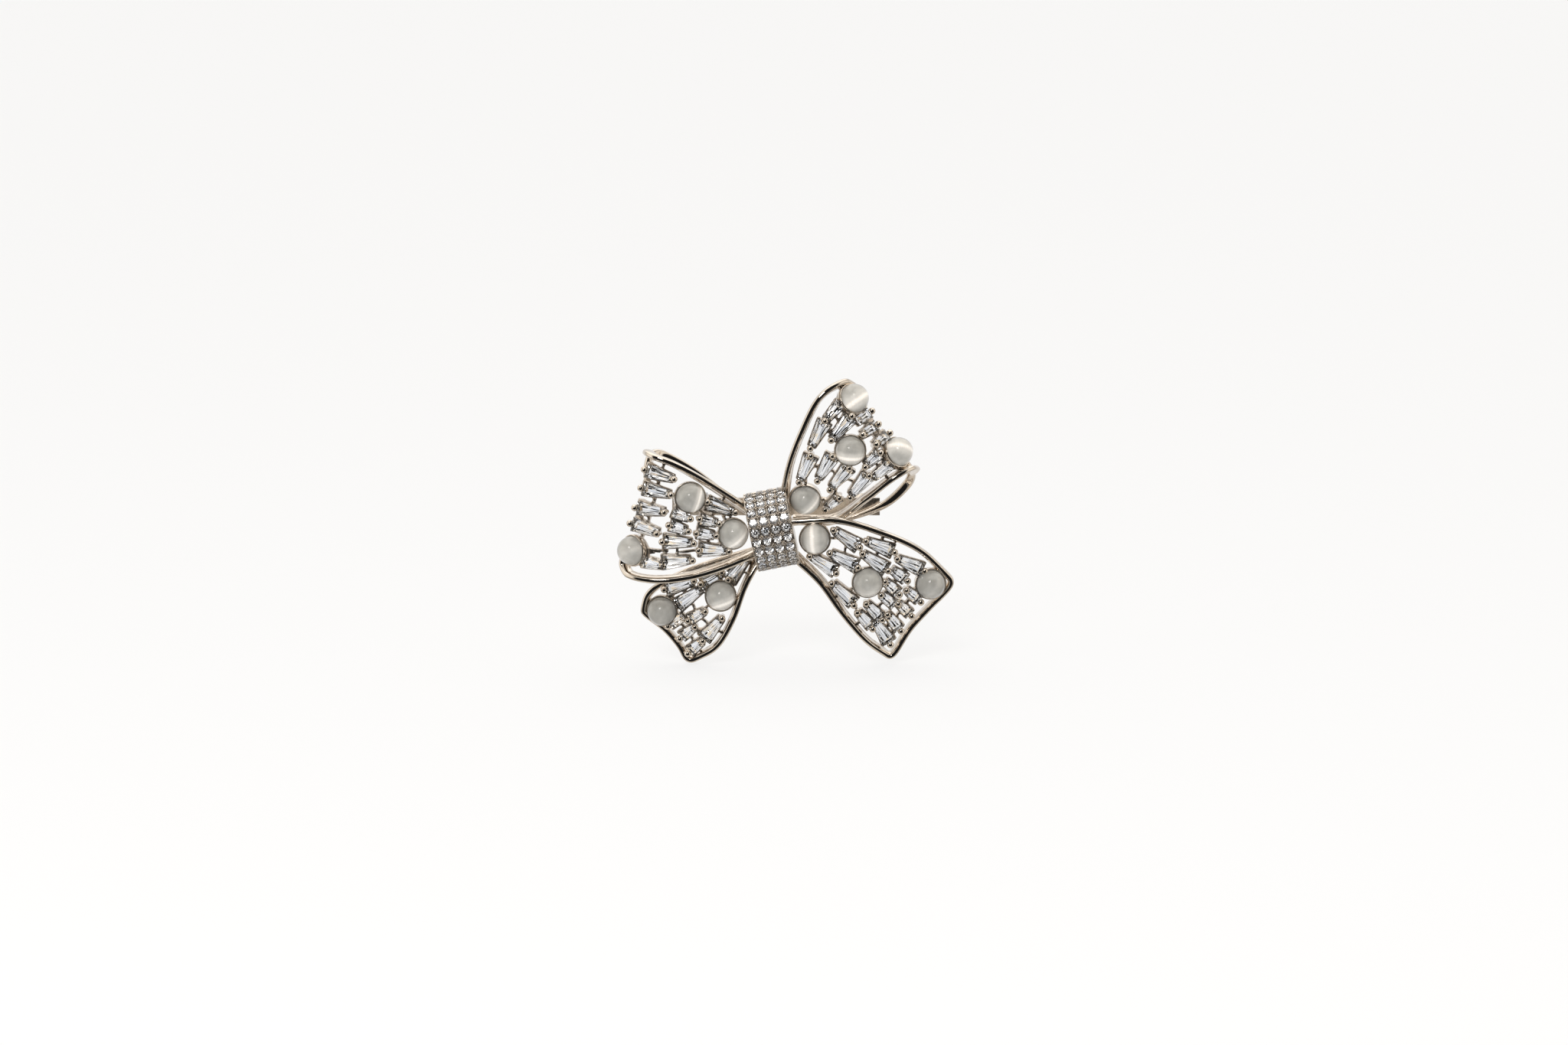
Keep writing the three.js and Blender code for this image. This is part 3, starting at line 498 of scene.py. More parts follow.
def rail_tree():
    """Sweeps a section along a path whose points say which way is out."""
    name = "Rail along a path"
    if name in bpy.data.node_groups:
        return bpy.data.node_groups[name]
    tree = geometry_tree(name)
    t = Tree(tree)
    start = t.add("NodeGroupInput")
    path = t.add("GeometryNodeMeshToCurve")
    out = t.add("GeometryNodeInputNamedAttribute", data_type="FLOAT_VECTOR")
    out.inputs["Name"].default_value = "out"
    taper = t.add("GeometryNodeInputNamedAttribute", data_type="FLOAT")
    taper.inputs["Name"].default_value = "taper"
    width = t.add("ShaderNodeMath", operation="MULTIPLY")
    normal = t.add("GeometryNodeSetCurveNormal")
    normal.mode = "FREE"
    section = t.add("GeometryNodeObjectInfo", transform_space="ORIGINAL")
    outline = t.add("GeometryNodeMeshToCurve")
    sweep = t.add("GeometryNodeCurveToMesh")
    sweep.inputs["Fill Caps"].default_value = True
    smooth = t.add("GeometryNodeSetShadeSmooth")
    realize = t.add("GeometryNodeRealizeInstances")
    finish = t.add("GeometryNodeSetMaterial")
    end = t.add("NodeGroupOutput")
    t.link(start.outputs["Points"], path.inputs["Mesh"])
    t.link(path.outputs["Curve"], normal.inputs["Curve"])
    t.link(out.outputs["Attribute"], normal.inputs["Normal"])
    t.link(start.outputs["Piece"], section.inputs["Object"])
    t.link(section.outputs["Geometry"], outline.inputs["Mesh"])
    t.link(normal.outputs["Curve"], sweep.inputs["Curve"])
    t.link(outline.outputs["Curve"], sweep.inputs["Profile Curve"])
    t.link(taper.outputs["Attribute"], width.inputs[0])
    t.link(start.outputs["Size"], width.inputs[1])
    t.link(width.outputs["Value"], sweep.inputs["Scale"])
    t.link(sweep.outputs["Mesh"], smooth.inputs["Geometry"])
    t.link(smooth.outputs["Geometry"], realize.inputs["Geometry"])
    t.link(realize.outputs["Geometry"], finish.inputs["Geometry"])
    t.link(start.outputs["Material"], finish.inputs["Material"])
    t.link(finish.outputs["Geometry"], end.inputs["Result"])
    return tree


def run_tree(name, tree, carrier, shape, material, size):
    """Runs a geometry tree on a carrier mesh, and keeps its result as a plain piece."""
    modifier = carrier.modifiers.new(tree.name, "NODES")
    modifier.node_group = tree
    identifiers = {item.name: item.identifier for item in tree.interface.items_tree
                   if item.in_out == "INPUT"}
    modifier[identifiers["Piece"]] = shape
    modifier[identifiers["Material"]] = material
    modifier[identifiers["Size"]] = size
    graph = bpy.context.evaluated_depsgraph_get()
    graph.update()
    mesh = bpy.data.meshes.new_from_object(carrier.evaluated_get(graph))
    carrier.modifiers.clear()
    if not mesh.polygons:
        raise RuntimeError(f"{name} came out empty")
    mesh.name = name
    for attribute in ("turn", "out", "taper"):
        if attribute in mesh.attributes:
            mesh.attributes.remove(mesh.attributes[attribute])
    piece = bpy.data.objects.new(name, mesh)
    bpy.context.scene.collection.objects.link(piece)
    for used in (carrier, shape):
        bpy.data.objects.remove(used)
    return piece


def set_on_points(name, shape, matrices, material):
    """Sets a shape, drawn in millimetres, at each matrix."""
    mesh = bpy.data.meshes.new(name + "_places")
    mesh.from_pydata([tuple(matrix.translation) for matrix in matrices], [], [])
    turns = [angle for matrix in matrices for angle in matrix.to_euler("XYZ")]
    mesh.attributes.new("turn", "FLOAT_VECTOR", "POINT").data.foreach_set("vector", turns)
    carrier = bpy.data.objects.new(name + "_places", mesh)
    bpy.context.scene.collection.objects.link(carrier)
    return run_tree(name, setting_tree(), carrier, shape, material, MM)


def sweep_rail(name, points, outs, tapers, section, material):
    """Sweeps a section, drawn in metres, along points in the shared frame."""
    mesh = bpy.data.meshes.new(name + "_path")
    edges = [(index, index + 1) for index in range(len(points) - 1)]
    mesh.from_pydata([tuple(point) for point in points], edges, [])
    mesh.attributes.new("out", "FLOAT_VECTOR", "POINT").data.foreach_set("vector", np.ravel(outs))
    mesh.attributes.new("taper", "FLOAT", "POINT").data.foreach_set("value", tapers)
    carrier = bpy.data.objects.new(name + "_path", mesh)
    bpy.context.scene.collection.objects.link(carrier)
    outline = bpy.data.meshes.new(name + "_section")
    count = len(section)
    outline.from_pydata([(x, y, 0.0) for x, y in section], [(k, (k + 1) % count) for k in range(count)], [])
    profile = bpy.data.objects.new(name + "_section", outline)
    bpy.context.scene.collection.objects.link(profile)
    return run_tree(name, rail_tree(), carrier, profile, material, 1.0)


# ---- finishes -----------------------------------------------------------------------------

def new_material(name):
    """A material with its tree and shader, or only the material when it is there already."""
    material = bpy.data.materials.get(name)
    if material:
        return material, None, None
    material = bpy.data.materials.new(name)
    material.use_nodes = True
    t = Tree(material.node_tree)
    return material, t, material.node_tree.nodes["Principled BSDF"]


def object_noise(t, scale, detail, roughness=0.5):
    where = t.add("ShaderNodeTexCoord")
    noise = t.add("ShaderNodeTexNoise")
    noise.inputs["Scale"].default_value = scale
    noise.inputs["Detail"].default_value = detail
    noise.inputs["Roughness"].default_value = roughness
    t.link(where.outputs["Object"], noise.inputs["Vector"])
    return noise


def ramp(t, source, stops):
    node = t.add("ShaderNodeValToRGB")
    elements = node.color_ramp.elements
    while len(elements) < len(stops):
        elements.new(0.5)
    for element, (position, color) in zip(elements, stops):
        element.position = position
        element.color = (*color, 1.0) if len(color) == 3 else color
    t.link(source, node.inputs["Fac"])
    return node


def grey(value):
    return (value, value, value)


def metal(name, light, dark, roughness, bump, scale):
    """A plated metal: a little tone and gloss variation, and a fine skin."""
    material, t, shader = new_material(name)
    if t is None:
        return material
    shader.inputs["Metallic"].default_value = 1.0
    broad = object_noise(t, scale, 3.0)
    tone = ramp(t, broad.outputs["Fac"], [(0.35, dark), (0.62, light)])
    t.link(tone.outputs["Color"], shader.inputs["Base Color"])
    fine = object_noise(t, scale * 5, 5.0, 0.6)
    gloss = ramp(t, fine.outputs["Fac"], [(0.3, grey(roughness[0])), (0.75, grey(roughness[1]))])
    t.link(gloss.outputs["Color"], shader.inputs["Roughness"])
    skin = t.add("ShaderNodeBump")
    skin.inputs["Strength"].default_value = bump
    skin.inputs["Distance"].default_value = 0.00003
    t.link(fine.outputs["Fac"], skin.inputs["Height"])
    t.link(skin.outputs["Normal"], shader.inputs["Normal"])
    return material


def polished_rhodium():
    """The plating of rails, returns, cups, prongs and grains."""
    look = bpy.context.scene.brooch_finish
    return metal("polished_rhodium", look.rhodium, (0.80, 0.73, 0.65),
                 roughness=(0.03, 0.09), bump=0.10, scale=700)


def cast_gallery():
    """Plated castings as they come from the mould, behind the stones."""
    look = bpy.context.scene.brooch_finish
    return metal("cast_gallery", look.gallery, (0.62, 0.55, 0.48),
                 roughness=(0.28, 0.46), bump=0.7, scale=1500)


def satin_rhodium():
    """The plating of the pin's fittings and the core."""
    look = bpy.context.scene.brooch_finish
    return metal("satin_rhodium", look.rhodium, (0.76, 0.70, 0.62),
                 roughness=(0.24, 0.38), bump=0.25, scale=900)


def spring_steel():
    """The drawn wire of the pin and its rivet."""
    return metal("spring_steel", (0.72, 0.72, 0.72), (0.60, 0.60, 0.61),
                 roughness=(0.12, 0.24), bump=0.25, scale=900)


# The shade argument is a painted dark reflection colour, and the last argument a painted warm flash of fire.
def zirconia(name, shade, painted_fire):
    """Clear cut stone, whose facets differ a little in painted reflections and painted warm and cool fire."""
    material, t, shader = new_material(name)
    if t is None:
        return material
    shader.inputs["Transmission Weight"].default_value = 1.0
    shader.inputs["Roughness"].default_value = 0.0
    shader.inputs["IOR"].default_value = 1.85
    facet = t.add("ShaderNodeAttribute", attribute_name="facet")
    noise = object_noise(t, 420, 2.0)
    total = t.add("ShaderNodeMath", operation="MULTIPLY_ADD")
    t.link(noise.outputs["Fac"], total.inputs[0])
    total.inputs[1].default_value = 0.7
    t.link(facet.outputs["Fac"], total.inputs[2])
    wrapped = t.add("ShaderNodeMath", operation="FRACT")
    t.link(total.outputs["Value"], wrapped.inputs[0])
    # Painted reflections: each facet's number and a little noise pick a painted dark reflection, white, or
    # painted warm and cool fire.
    painted_facet_reflections = ramp(t, wrapped.outputs["Value"], [
        (0.0, shade), (0.16, (0.93, 0.94, 0.96)), (0.24, (1.0, 1.0, 1.0)), (0.74, (1.0, 1.0, 1.0)),
        (0.80, painted_fire), (0.86, (1.0, 1.0, 1.0)), (0.95, (0.80, 0.87, 1.0)), (1.0, shade)])
    t.link(painted_facet_reflections.outputs["Color"], shader.inputs["Base Color"])
    return material


def cats_eye():
    """Milky stone with a painted sheen band and a painted glow, which lie along the middle of the piece's UV
    map.
    """
    material, t, shader = new_material("silky_cats_eye")
    if t is None:
        return material
    look = bpy.context.scene.brooch_finish
    uv = t.add("ShaderNodeUVMap")
    uv.uv_map = "band"
    parts = t.add("ShaderNodeSeparateXYZ")
    t.link(uv.outputs["UV"], parts.inputs["Vector"])
    # The band is painted sheen: a bright stripe painted into the colour across the UV map's middle, where the
    # stone's silk would reflect light.
    band = ramp(t, parts.outputs["X"], [
        (0.0, grey(0.0)), (0.26, grey(0.06)), (0.41, grey(0.45)), (0.50, grey(1.0)),
        (0.59, grey(0.45)), (0.74, grey(0.06)), (1.0, grey(0.0))])
    band.color_ramp.interpolation = "EASE"
    stretch = t.add("ShaderNodeMapping")
    stretch.inputs["Scale"].default_value = (5.0, 70.0, 1.0)
    t.link(uv.outputs["UV"], stretch.inputs["Vector"])
    fibre = t.add("ShaderNodeTexNoise")
    fibre.inputs["Scale"].default_value = 1.0
    fibre.inputs["Detail"].default_value = 4.0
    t.link(stretch.outputs["Vector"], fibre.inputs["Vector"])
    silk_sheen = ramp(t, fibre.outputs["Fac"], [(0.3, grey(0.72)), (0.7, grey(1.0))])
    glow = t.add("ShaderNodeMath", operation="MULTIPLY")
    t.link(band.outputs["Color"], glow.inputs[0])
    t.link(silk_sheen.outputs["Color"], glow.inputs[1])
    strength = t.add("ShaderNodeAttribute", attribute_name="glow")
    lit = t.add("ShaderNodeMath", operation="MULTIPLY")
    t.link(glow.outputs["Value"], lit.inputs[0])
    t.link(strength.outputs["Fac"], lit.inputs[1])
    cloud = object_noise(t, 900, 3.0)
    milk = ramp(t, cloud.outputs["Fac"], [(0.35, look.stone_shade), (0.65, look.stone)])
    tone = t.add("ShaderNodeAttribute", attribute_name="tone")
    toned = t.add("ShaderNodeVectorMath", operation="SCALE")
    t.link(milk.outputs["Color"], toned.inputs[0])
    t.link(tone.outputs["Fac"], toned.inputs["Scale"])
    color = t.add("ShaderNodeMix", data_type="RGBA")
    t.link(lit.outputs["Value"], color.inputs["Factor"])
    t.link(toned.outputs["Vector"], color.inputs["A"])
    color.inputs["B"].default_value = (*look.painted_sheen_colour, 1.0)
    t.link(color.outputs["Result"], shader.inputs["Base Color"])
    # Painted glow: the same colour is also emitted, so the stone glows though it is no lamp, a little
    # everywhere and more along the painted sheen band.
    t.link(color.outputs["Result"], shader.inputs["Emission Color"])
    painted_glow = t.add("ShaderNodeMath", operation="MULTIPLY_ADD")
    t.link(lit.outputs["Value"], painted_glow.inputs[0])
    painted_glow.inputs[1].default_value = 0.32
    painted_glow.inputs[2].default_value = 0.02
    t.link(painted_glow.outputs["Value"], shader.inputs["Emission Strength"])
    shader.inputs["Roughness"].default_value = 0.32
    shader.inputs["Coat Weight"].default_value = 0.9
    shader.inputs["Coat Roughness"].default_value = 0.03
    shader.inputs["Subsurface Weight"].default_value = 0.25
    shader.inputs["Subsurface Radius"].default_value = (1.0, 0.9, 0.8)
    shader.inputs["Subsurface Scale"].default_value = 0.0006
    return material


# ---- shapes in millimetres, for setting on points -------------------------------------------

def shape_object(name, vertices, faces, smooth):
    """A shape to be repeated, whose faces each carry a random number, from which the stones' material picks
    each facet's painted reflection colour.
    """
    mesh = bpy.data.meshes.new(name)
    mesh.from_pydata([tuple(point) for point in vertices], [], faces)
    work = bmesh.new()
    work.from_mesh(mesh)
    bmesh.ops.remove_doubles(work, verts=work.verts, dist=1e-5)
    bmesh.ops.recalc_face_normals(work, faces=work.faces)
    work.to_mesh(mesh)
    work.free()
    mesh.polygons.foreach_set("use_smooth", [smooth] * len(mesh.polygons))
    facet_picks = [math.sin(12.9898 * (k + 1)) * 437.585 % 1 for k in range(len(mesh.polygons))]
    mesh.attributes.new("facet", "FLOAT", "FACE").data.foreach_set("value", facet_picks)
    shape = bpy.data.objects.new(name, mesh)
    bpy.context.scene.collection.objects.link(shape)
    return shape


def turned(profile, sides, phase=0.0):
    """A lathe shape from (radius, height) pairs, closed at both ends."""
    rings = []
    for radius, height in profile:
        rings.append([(radius * math.cos(2 * math.pi * (k + phase) / sides),
                       radius * math.sin(2 * math.pi * (k + phase) / sides), height)
                      for k in range(sides)])
    return loft(rings)


def bead_shape(radius, stem, foot):
    """A prong: a stem that swells into a round bead."""
    profile = [(stem, foot)]
    steps = 7
    for k in range(steps):
        angle = -0.6 + (math.pi / 2 + 0.5) * k / (steps - 1)
        profile.append((radius * math.cos(angle), radius * math.sin(angle)))
    profile.append((radius * 0.03, radius))
    return shape_object("prong_shape", *turned(profile, 14), True)


def grain_shape():
    """One raised grain of the knot's pave."""
    profile = [(0.12, -0.30), (0.15, 0.0), (0.135, 0.09), (0.08, 0.15), (0.01, 0.17)]
    return shape_object("grain_shape", *turned(profile, 8), True)


def brilliant_shape(radius):
    """A small round brilliant: table, star and main facets, girdle and pavilion."""
    sides = 8
    rings = [(0.55, 0.17, 0.5), (0.80, 0.10, 0.0), (1.0, 0.015, 0.5), (1.0, -0.015, 0.5),
             (0.45, -0.30, 0.0), (0.03, -0.5, 0.5)]
    points = []
    for scale, height, phase in rings:
        points.append([(radius * scale * math.cos(2 * math.pi * (k + phase) / sides),
                        radius * scale * math.sin(2 * math.pi * (k + phase) / sides),
                        2 * radius * height) for k in range(sides)])
    return shape_object("brilliant_shape", *loft(points), False)


def step_cut_shape(cut):
    """A tapered stone with steps down to its girdle, and planes that meet in a keel below it."""
    length, wide, narrow = cut
    rings = []
    for inset, share, height in STEP_CUT:
        x0 = -length / 2 + inset
        x1 = length / 2 - inset
        h0 = narrow / 2 * share
        h1 = wide / 2 * share
        rings.append([(x0, -h0, height), (x1, -h1, height), (x1, h1, height), (x0, h0, height)])
    return shape_object("step_cut_shape", *loft(rings), False)


def cup_shape():
    """A thin-walled cup with a rounded lip, for one cabochon."""
    inner = 2.03
    outer = 2.22
    section = [(inner, -0.35), (inner, 0.36), (inner + 0.03, 0.42), (inner + 0.07, 0.45),
               (outer - 0.07, 0.45), (outer - 0.02, 0.40), (outer, 0.30), (outer, -0.35),
               (outer - 0.1, -0.5), (inner - 0.55, -0.5), (inner - 0.6, -0.35), (inner - 0.55, -0.16)]
    sides = 56
    rings = []
    for k in range(sides):
        angle = 2 * math.pi * k / sides
        rings.append([(r * math.cos(angle), r * math.sin(angle), h) for r, h in section])
    vertices, faces = loft(rings, caps=False)
    count = len(section)
    last = (sides - 1) * count
    for k in range(count):
        n = (k + 1) % count
        faces.append((last + k, last + n, n, k))
    return shape_object("cup_shape", vertices, faces, True)


# ---- sizes and colours a user would change ---------------------------------------------------

class BROOCH_PG_sizes(bpy.types.PropertyGroup):
    bead: bpy.props.FloatProperty(
        name="Prong bead", description="Radius of a prong's bead, in millimetres", default=0.49, min=0.2)
    rail_width: bpy.props.FloatProperty(
        name="Rail width", description="Width of a ribbon's edge rail, in millimetres", default=0.95)
    rail_above: bpy.props.FloatProperty(
        name="Rail height", description="Rail height over the gallery, in millimetres", default=0.95)
    rail_below: bpy.props.FloatProperty(
        name="Rail depth", description="Rail depth below the gallery, in millimetres", default=0.75)
    web: bpy.props.FloatProperty(
        name="Web", description="Metal left round each stone, in millimetres", default=0.17)
    grid: bpy.props.FloatProperty(
        name="Gallery fineness", description="Mesh step of the gallery, in millimetres", default=0.15)
    pave_pitch: bpy.props.FloatProperty(
        name="Pave pitch", description="Distance between pave stones, in millimetres", default=1.43)
    pave_radius: bpy.props.FloatProperty(
        name="Pave stone", description="Radius of a pave stone, in millimetres", default=0.64)


class BROOCH_PG_finish(bpy.types.PropertyGroup):
    rhodium: bpy.props.FloatVectorProperty(
        name="Rhodium", description="Colour of the polished plating", subtype="COLOR",
        default=(0.90, 0.83, 0.75))
    gallery: bpy.props.FloatVectorProperty(
        name="Gallery", description="Colour of the cast metal behind the stones", subtype="COLOR",
        default=(0.86, 0.79, 0.71))
    stone: bpy.props.FloatVectorProperty(
        name="Cat's eye", description="Body colour of the cabochons", subtype="COLOR",
        default=(0.50, 0.49, 0.455))
    stone_shade: bpy.props.FloatVectorProperty(
        name="Cat's eye shade", description="Darker clouds in the cabochons", subtype="COLOR",
        default=(0.40, 0.39, 0.36))
    # Colour of the cabochons' painted sheen band, which also sets the colour of their painted glow.
    painted_sheen_colour: bpy.props.FloatVectorProperty(
        name="Cat's eye band", description="The silky band in the cabochons", subtype="COLOR",
        default=(1.0, 0.95, 0.88))


# ---- ribbons --------------------------------------------------------------------------------

PATH_STEP = 0.16                # millimetres between the points of a rail's path
HOOK_TURN = 0.35                # stations before the fold where a free rail starts to turn in
HOOK_REACH = (0.03, 0.13)       # shares from its edge, where it runs along the fold


def rounded_outline(count, x_power, y_power):
    """Points round an oval of half size 1. Powers below 1 square it off."""
    points = []
    for k in range(count):
        angle = 2 * math.pi * k / count
        x = math.copysign(abs(math.cos(angle)) ** x_power, math.cos(angle))
        y = math.copysign(abs(math.sin(angle)) ** y_power, math.sin(angle))
        points.append((x, y))
    return points


def rail_section():
    """A rounded upright section: X out of the ribbon's front, Y across the rail, in metres."""
    sizes = bpy.context.scene.brooch_sizes
    half = sizes.rail_width / 2
    middle = (sizes.rail_above - sizes.rail_below) / 2
    reach = (sizes.rail_above + sizes.rail_below) / 2
    return [((middle + reach * y) * MM, half * x * MM) for x, y in rounded_outline(28, 0.72, 0.92)]


def rounded_end(count, reach=5):
    """Sizes along a rail that end in a round nose."""
    tapers = [1.0] * count
    for k in range(reach):
        tapers[count - 1 - k] = math.sqrt(max(1 - ((reach - k) / reach) ** 2, 0.02))
    return tapers


def edge_path(name, share, start, stop, count):
    """A rail's path along one edge of a ribbon, and the directions out of the front."""
    stations = np.linspace(start, stop, count)
    points = surface(name, stations, share)
    outs = surface_axes(name, stations, share)[1]
    return points, outs


def end_path(name, count):
    """The path of a tail's cut end, upper corner to lower corner."""
    end = EDGES[name]["end"]
    shares = np.linspace(0, 1, count)
    points = along(end, shares * (len(end) - 1))
    out = surface_axes(name, TAIL_BLEND - 0.1, 0.5)[1][0]
    tangents = unit(np.gradient(points, axis=0))
    outs = unit(out[None] - tangents * (tangents @ out)[:, None])
    return points, outs


def hooked_path(name, share):
    """A loop's free edge, which turns in round the fold's corner and ends at the last stone."""
    points, outs = edge_path(name, share, ROOT, FOLD - HOOK_TURN, 160)
    reach = np.linspace(*HOOK_REACH, 14)
    shares = share + reach * (1 - 2 * share)
    stations = np.full(len(reach), FOLD)
    turned_points = surface(name, stations, shares)
    turned_outs = surface_axes(name, stations, shares)[1]
    return even_path(np.concatenate([points, turned_points]), np.concatenate([outs, turned_outs]))


def ribbon_rails(name):
    """A loop's two rails, or a tail's one rail round three sides."""
    section = rail_section()
    metal_finish = polished_rhodium()
    if "end" in EDGES[name]:
        upper = edge_path(name, 0, ROOT, TAIL_BLEND + 0.1, 90)
        lower = edge_path(name, 1, TAIL_BLEND + 0.1, ROOT, 90)
        end = end_path(name, 110)
        keep = slice(6, -6)
        points = np.concatenate([upper[0], end[0][keep], lower[0]])
        outs = np.concatenate([upper[1], end[1][keep], lower[1]])
        points, outs = even_path(points, outs)
        tapers = [1.0] * len(points)
        return [sweep_rail(f"{name}_rail", to_frame(points), outs, tapers, section, metal_finish)]
    joined = 0 if name == "left_loop" else 1
    rails = []
    for share in (0, 1):
        if share == joined:
            points, outs = edge_path(name, share, ROOT, FOLD - 0.06, 170)
        else:
            points, outs = hooked_path(name, share)
        tapers = rounded_end(len(points))
        rails.append(sweep_rail(
            f"{name}_rail_{share}", to_frame(points), outs, tapers, section, metal_finish))
    return rails


def even_path(points, outs):
    """A path smoothed round its corners, with its points evenly apart."""
    for _ in range(10):
        points[1:-1] = (points[:-2] + 2 * points[1:-1] + points[2:]) / 4
        outs[1:-1] = (outs[:-2] + 2 * outs[1:-1] + outs[2:]) / 4
    lengths = lengths_along(points)
    even = np.linspace(0, lengths[-1], int(lengths[-1] / PATH_STEP))
    return at_lengths(points, lengths, even), unit(at_lengths(outs, lengths, even))


class GalleryField:
    """Where a ribbon's gallery has metal: below zero round the stones, on the ribs and by the rails."""

    def __init__(self, name, web):
        self.stones = STONES[name]
        self.web = web
        self.ribs = self.find_ribs(name)
        ends = np.linspace(0, TAIL_END if "end" in EDGES[name] else FOLD, 260)
        edges = [surface(name, ends, 0.0), surface(name, ends, 1.0)]
        if "end" in EDGES[name]:
            edges.append(end_path(name, 120)[0])
        self.edges = np.concatenate(edges)

    def find_ribs(self, name):
        """Straight ribs from each stone to its nearest neighbours, and to a rail that is near."""
        stop = TAIL_RIBS_END if "end" in EDGES[name] else LOOP_RIBS_END
        rails = [surface(name, np.linspace(0.2, stop, 240), share) for share in (0.0, 1.0)]
        ribs = []
        for stone in self.stones:
            others = sorted((each for each in self.stones if each is not stone),
                            key=lambda each: np.linalg.norm(each.origin - stone.origin))
            ribs += [(stone.origin, other.origin) for other in others[:RIBS_PER_STONE]]
            for rail in rails:
                gaps = np.linalg.norm(rail - stone.origin, axis=1)
                if gaps.min() < RIB_REACH:
                    ribs.append((stone.origin, rail[gaps.argmin()]))
        for ribbon, points in GALLERY_BARS:
            if ribbon == name:
                line = [surface(name, station, share)[0] for station, share in points]
                ribs += list(zip(line[:-1], line[1:]))
        return ribs

    def clearances(self, points):
        return np.array([stone.clearance(points) for stone in self.stones])

    def at(self, points):
        gaps = self.clearances(points)
        margins = np.array([CABOCHON_LEDGE if stone.cut is None else STONE_LEDGE for stone in self.stones])
        holes = -(gaps + margins[:, None]).min(axis=0)
        metal = gaps.min(axis=0) - self.web
        for start, stop in self.ribs:
            run = stop - start
            share = np.clip((points - start) @ run / (run @ run), 0, 1)
            offset = points - start - share[:, None] * run
            metal = np.minimum(metal, np.linalg.norm(offset, axis=1) - RIB_WIDTH / 2)
        rail = np.full(len(points), 99.0)
        for chunk in np.array_split(self.edges, 8):
            rail = np.minimum(rail, np.linalg.norm(points[:, None] - chunk[None], axis=2).min(axis=1))
        return np.maximum(holes, np.minimum(metal, rail - RAIL_SEAT))

    def rise(self, points):
        """A low seat wall stands round each stone, and a bar lies lower."""
        gaps = self.clearances(points)
        nearest = np.abs(gaps - 0.02).min(axis=0)
        return SEAT_RISE * np.clip((0.30 - nearest) / 0.16, 0, 1)


def snap_to_outline(field, points, runs, outs, reach):
    """Moves points of a ribbon's surface onto the outline of its metal, a little at a time."""
    sides = np.cross(outs, runs)
    for _ in range(3):
        here = field.at(points)
        slope = [(field.at(points + axis * 0.02) - here) / 0.02 for axis in (runs, sides)]
        steep = np.maximum(slope[0] ** 2 + slope[1] ** 2, 0.25)
        move = -(runs * (slope[0] * here / steep)[:, None] + sides * (slope[1] * here / steep)[:, None])
        size = np.linalg.norm(move, axis=1)
        points = points + move * np.minimum(1, reach / np.maximum(size, 1e-6))[:, None]
    return points


def sheet_faces(cells):
    """Faces of a sheet with holes: its front, its back, and walls wherever a cell is missing."""
    rows, columns = cells.shape
    index = np.arange((rows + 1) * (columns + 1)).reshape(rows + 1, columns + 1).tolist()
    shift = (rows + 1) * (columns + 1)
    solid = np.pad(cells, 1)
    faces = []
    for r, c in np.argwhere(cells).tolist():
        a, b, d, e = index[r][c], index[r + 1][c], index[r + 1][c + 1], index[r][c + 1]
        faces.append((a, b, d, e))
        faces.append((a + shift, e + shift, d + shift, b + shift))
        sides = [((0, -1), a, b), ((0, 1), d, e), ((-1, 0), e, a), ((1, 0), b, d)]
        for (down, right), start, stop in sides:
            if not solid[r + 1 + down, c + 1 + right]:
                faces.append((start, start + shift, stop + shift, stop))
    return faces


def ribbon_gallery(name):
    """The openwork sheet behind a ribbon's stones: seats, ribs between them, and open air."""
    sizes = bpy.context.scene.brooch_sizes
    field = GalleryField(name, sizes.web)
    stop = TAIL_END if "end" in EDGES[name] else FOLD - 0.12
    length = lengths_along(surface(name, np.linspace(0, stop, 60), 0.5))[-1]
    width = np.linalg.norm(surface(name, stop * 0.75, 1.0) - surface(name, stop * 0.75, 0.0))
    rows = int(length / sizes.grid)
    columns = int(width / sizes.grid)
    stations, shares = np.meshgrid(
        np.linspace(ROOT, stop, rows), np.linspace(0.0, 1.0, columns), indexing="ij")
    flat = surface(name, stations.ravel(), shares.ravel())
    grid = field.at(flat).reshape(rows, columns)
    middle = (grid[:-1, :-1] + grid[1:, :-1] + grid[:-1, 1:] + grid[1:, 1:]) / 4
    cells = middle < 0
    touching = np.zeros((rows, columns), dtype=int)
    for r, c in ((0, 0), (1, 0), (0, 1), (1, 1)):
        touching[r:rows - 1 + r, c:columns - 1 + c] += cells
    rim = ((touching > 0) & (touching < 4)).ravel()
    runs, outs = surface_axes(name, stations.ravel(), shares.ravel())
    snapped = flat.copy()
    snapped[rim] = snap_to_outline(field, flat[rim], runs[rim], outs[rim], sizes.grid / 2)
    front = snapped + outs * field.rise(snapped)[:, None]
    back = snapped - outs * GALLERY_DEPTH
    vertices = np.concatenate([front, back])
    piece = new_piece(f"{name}_gallery", to_frame(vertices), sheet_faces(cells), cast_gallery())
    work = bmesh.new()
    work.from_mesh(piece.data)
    loose = [vertex for vertex in work.verts if not vertex.link_faces]
    bmesh.ops.delete(work, geom=loose, context="VERTS")
    bmesh.ops.smooth_vert(work, verts=work.verts, factor=0.4, use_axis_x=True, use_axis_y=True,
                          use_axis_z=True)
    work.to_mesh(piece.data)
    work.free()
    shade_by_angle(piece, 50)
    return piece


PRONG_LIFT = 0.76               # a bead's middle over the gallery
PRONG_FOOT = -1.0               # a stem's foot under the bead's middle
PRONG_GAP = 0.24                # a prong's middle beyond its stone's end
RAIL_GAP = 0.62                 # no prong stands nearer to a rail than this,
CUP_GAP = 0.16                  # or nearer to another stone's cup,
STONE_GAP = 0.10                # or to another tapered stone,
BEAD_GAP = 1.7                  # or, in bead radii, to another prong


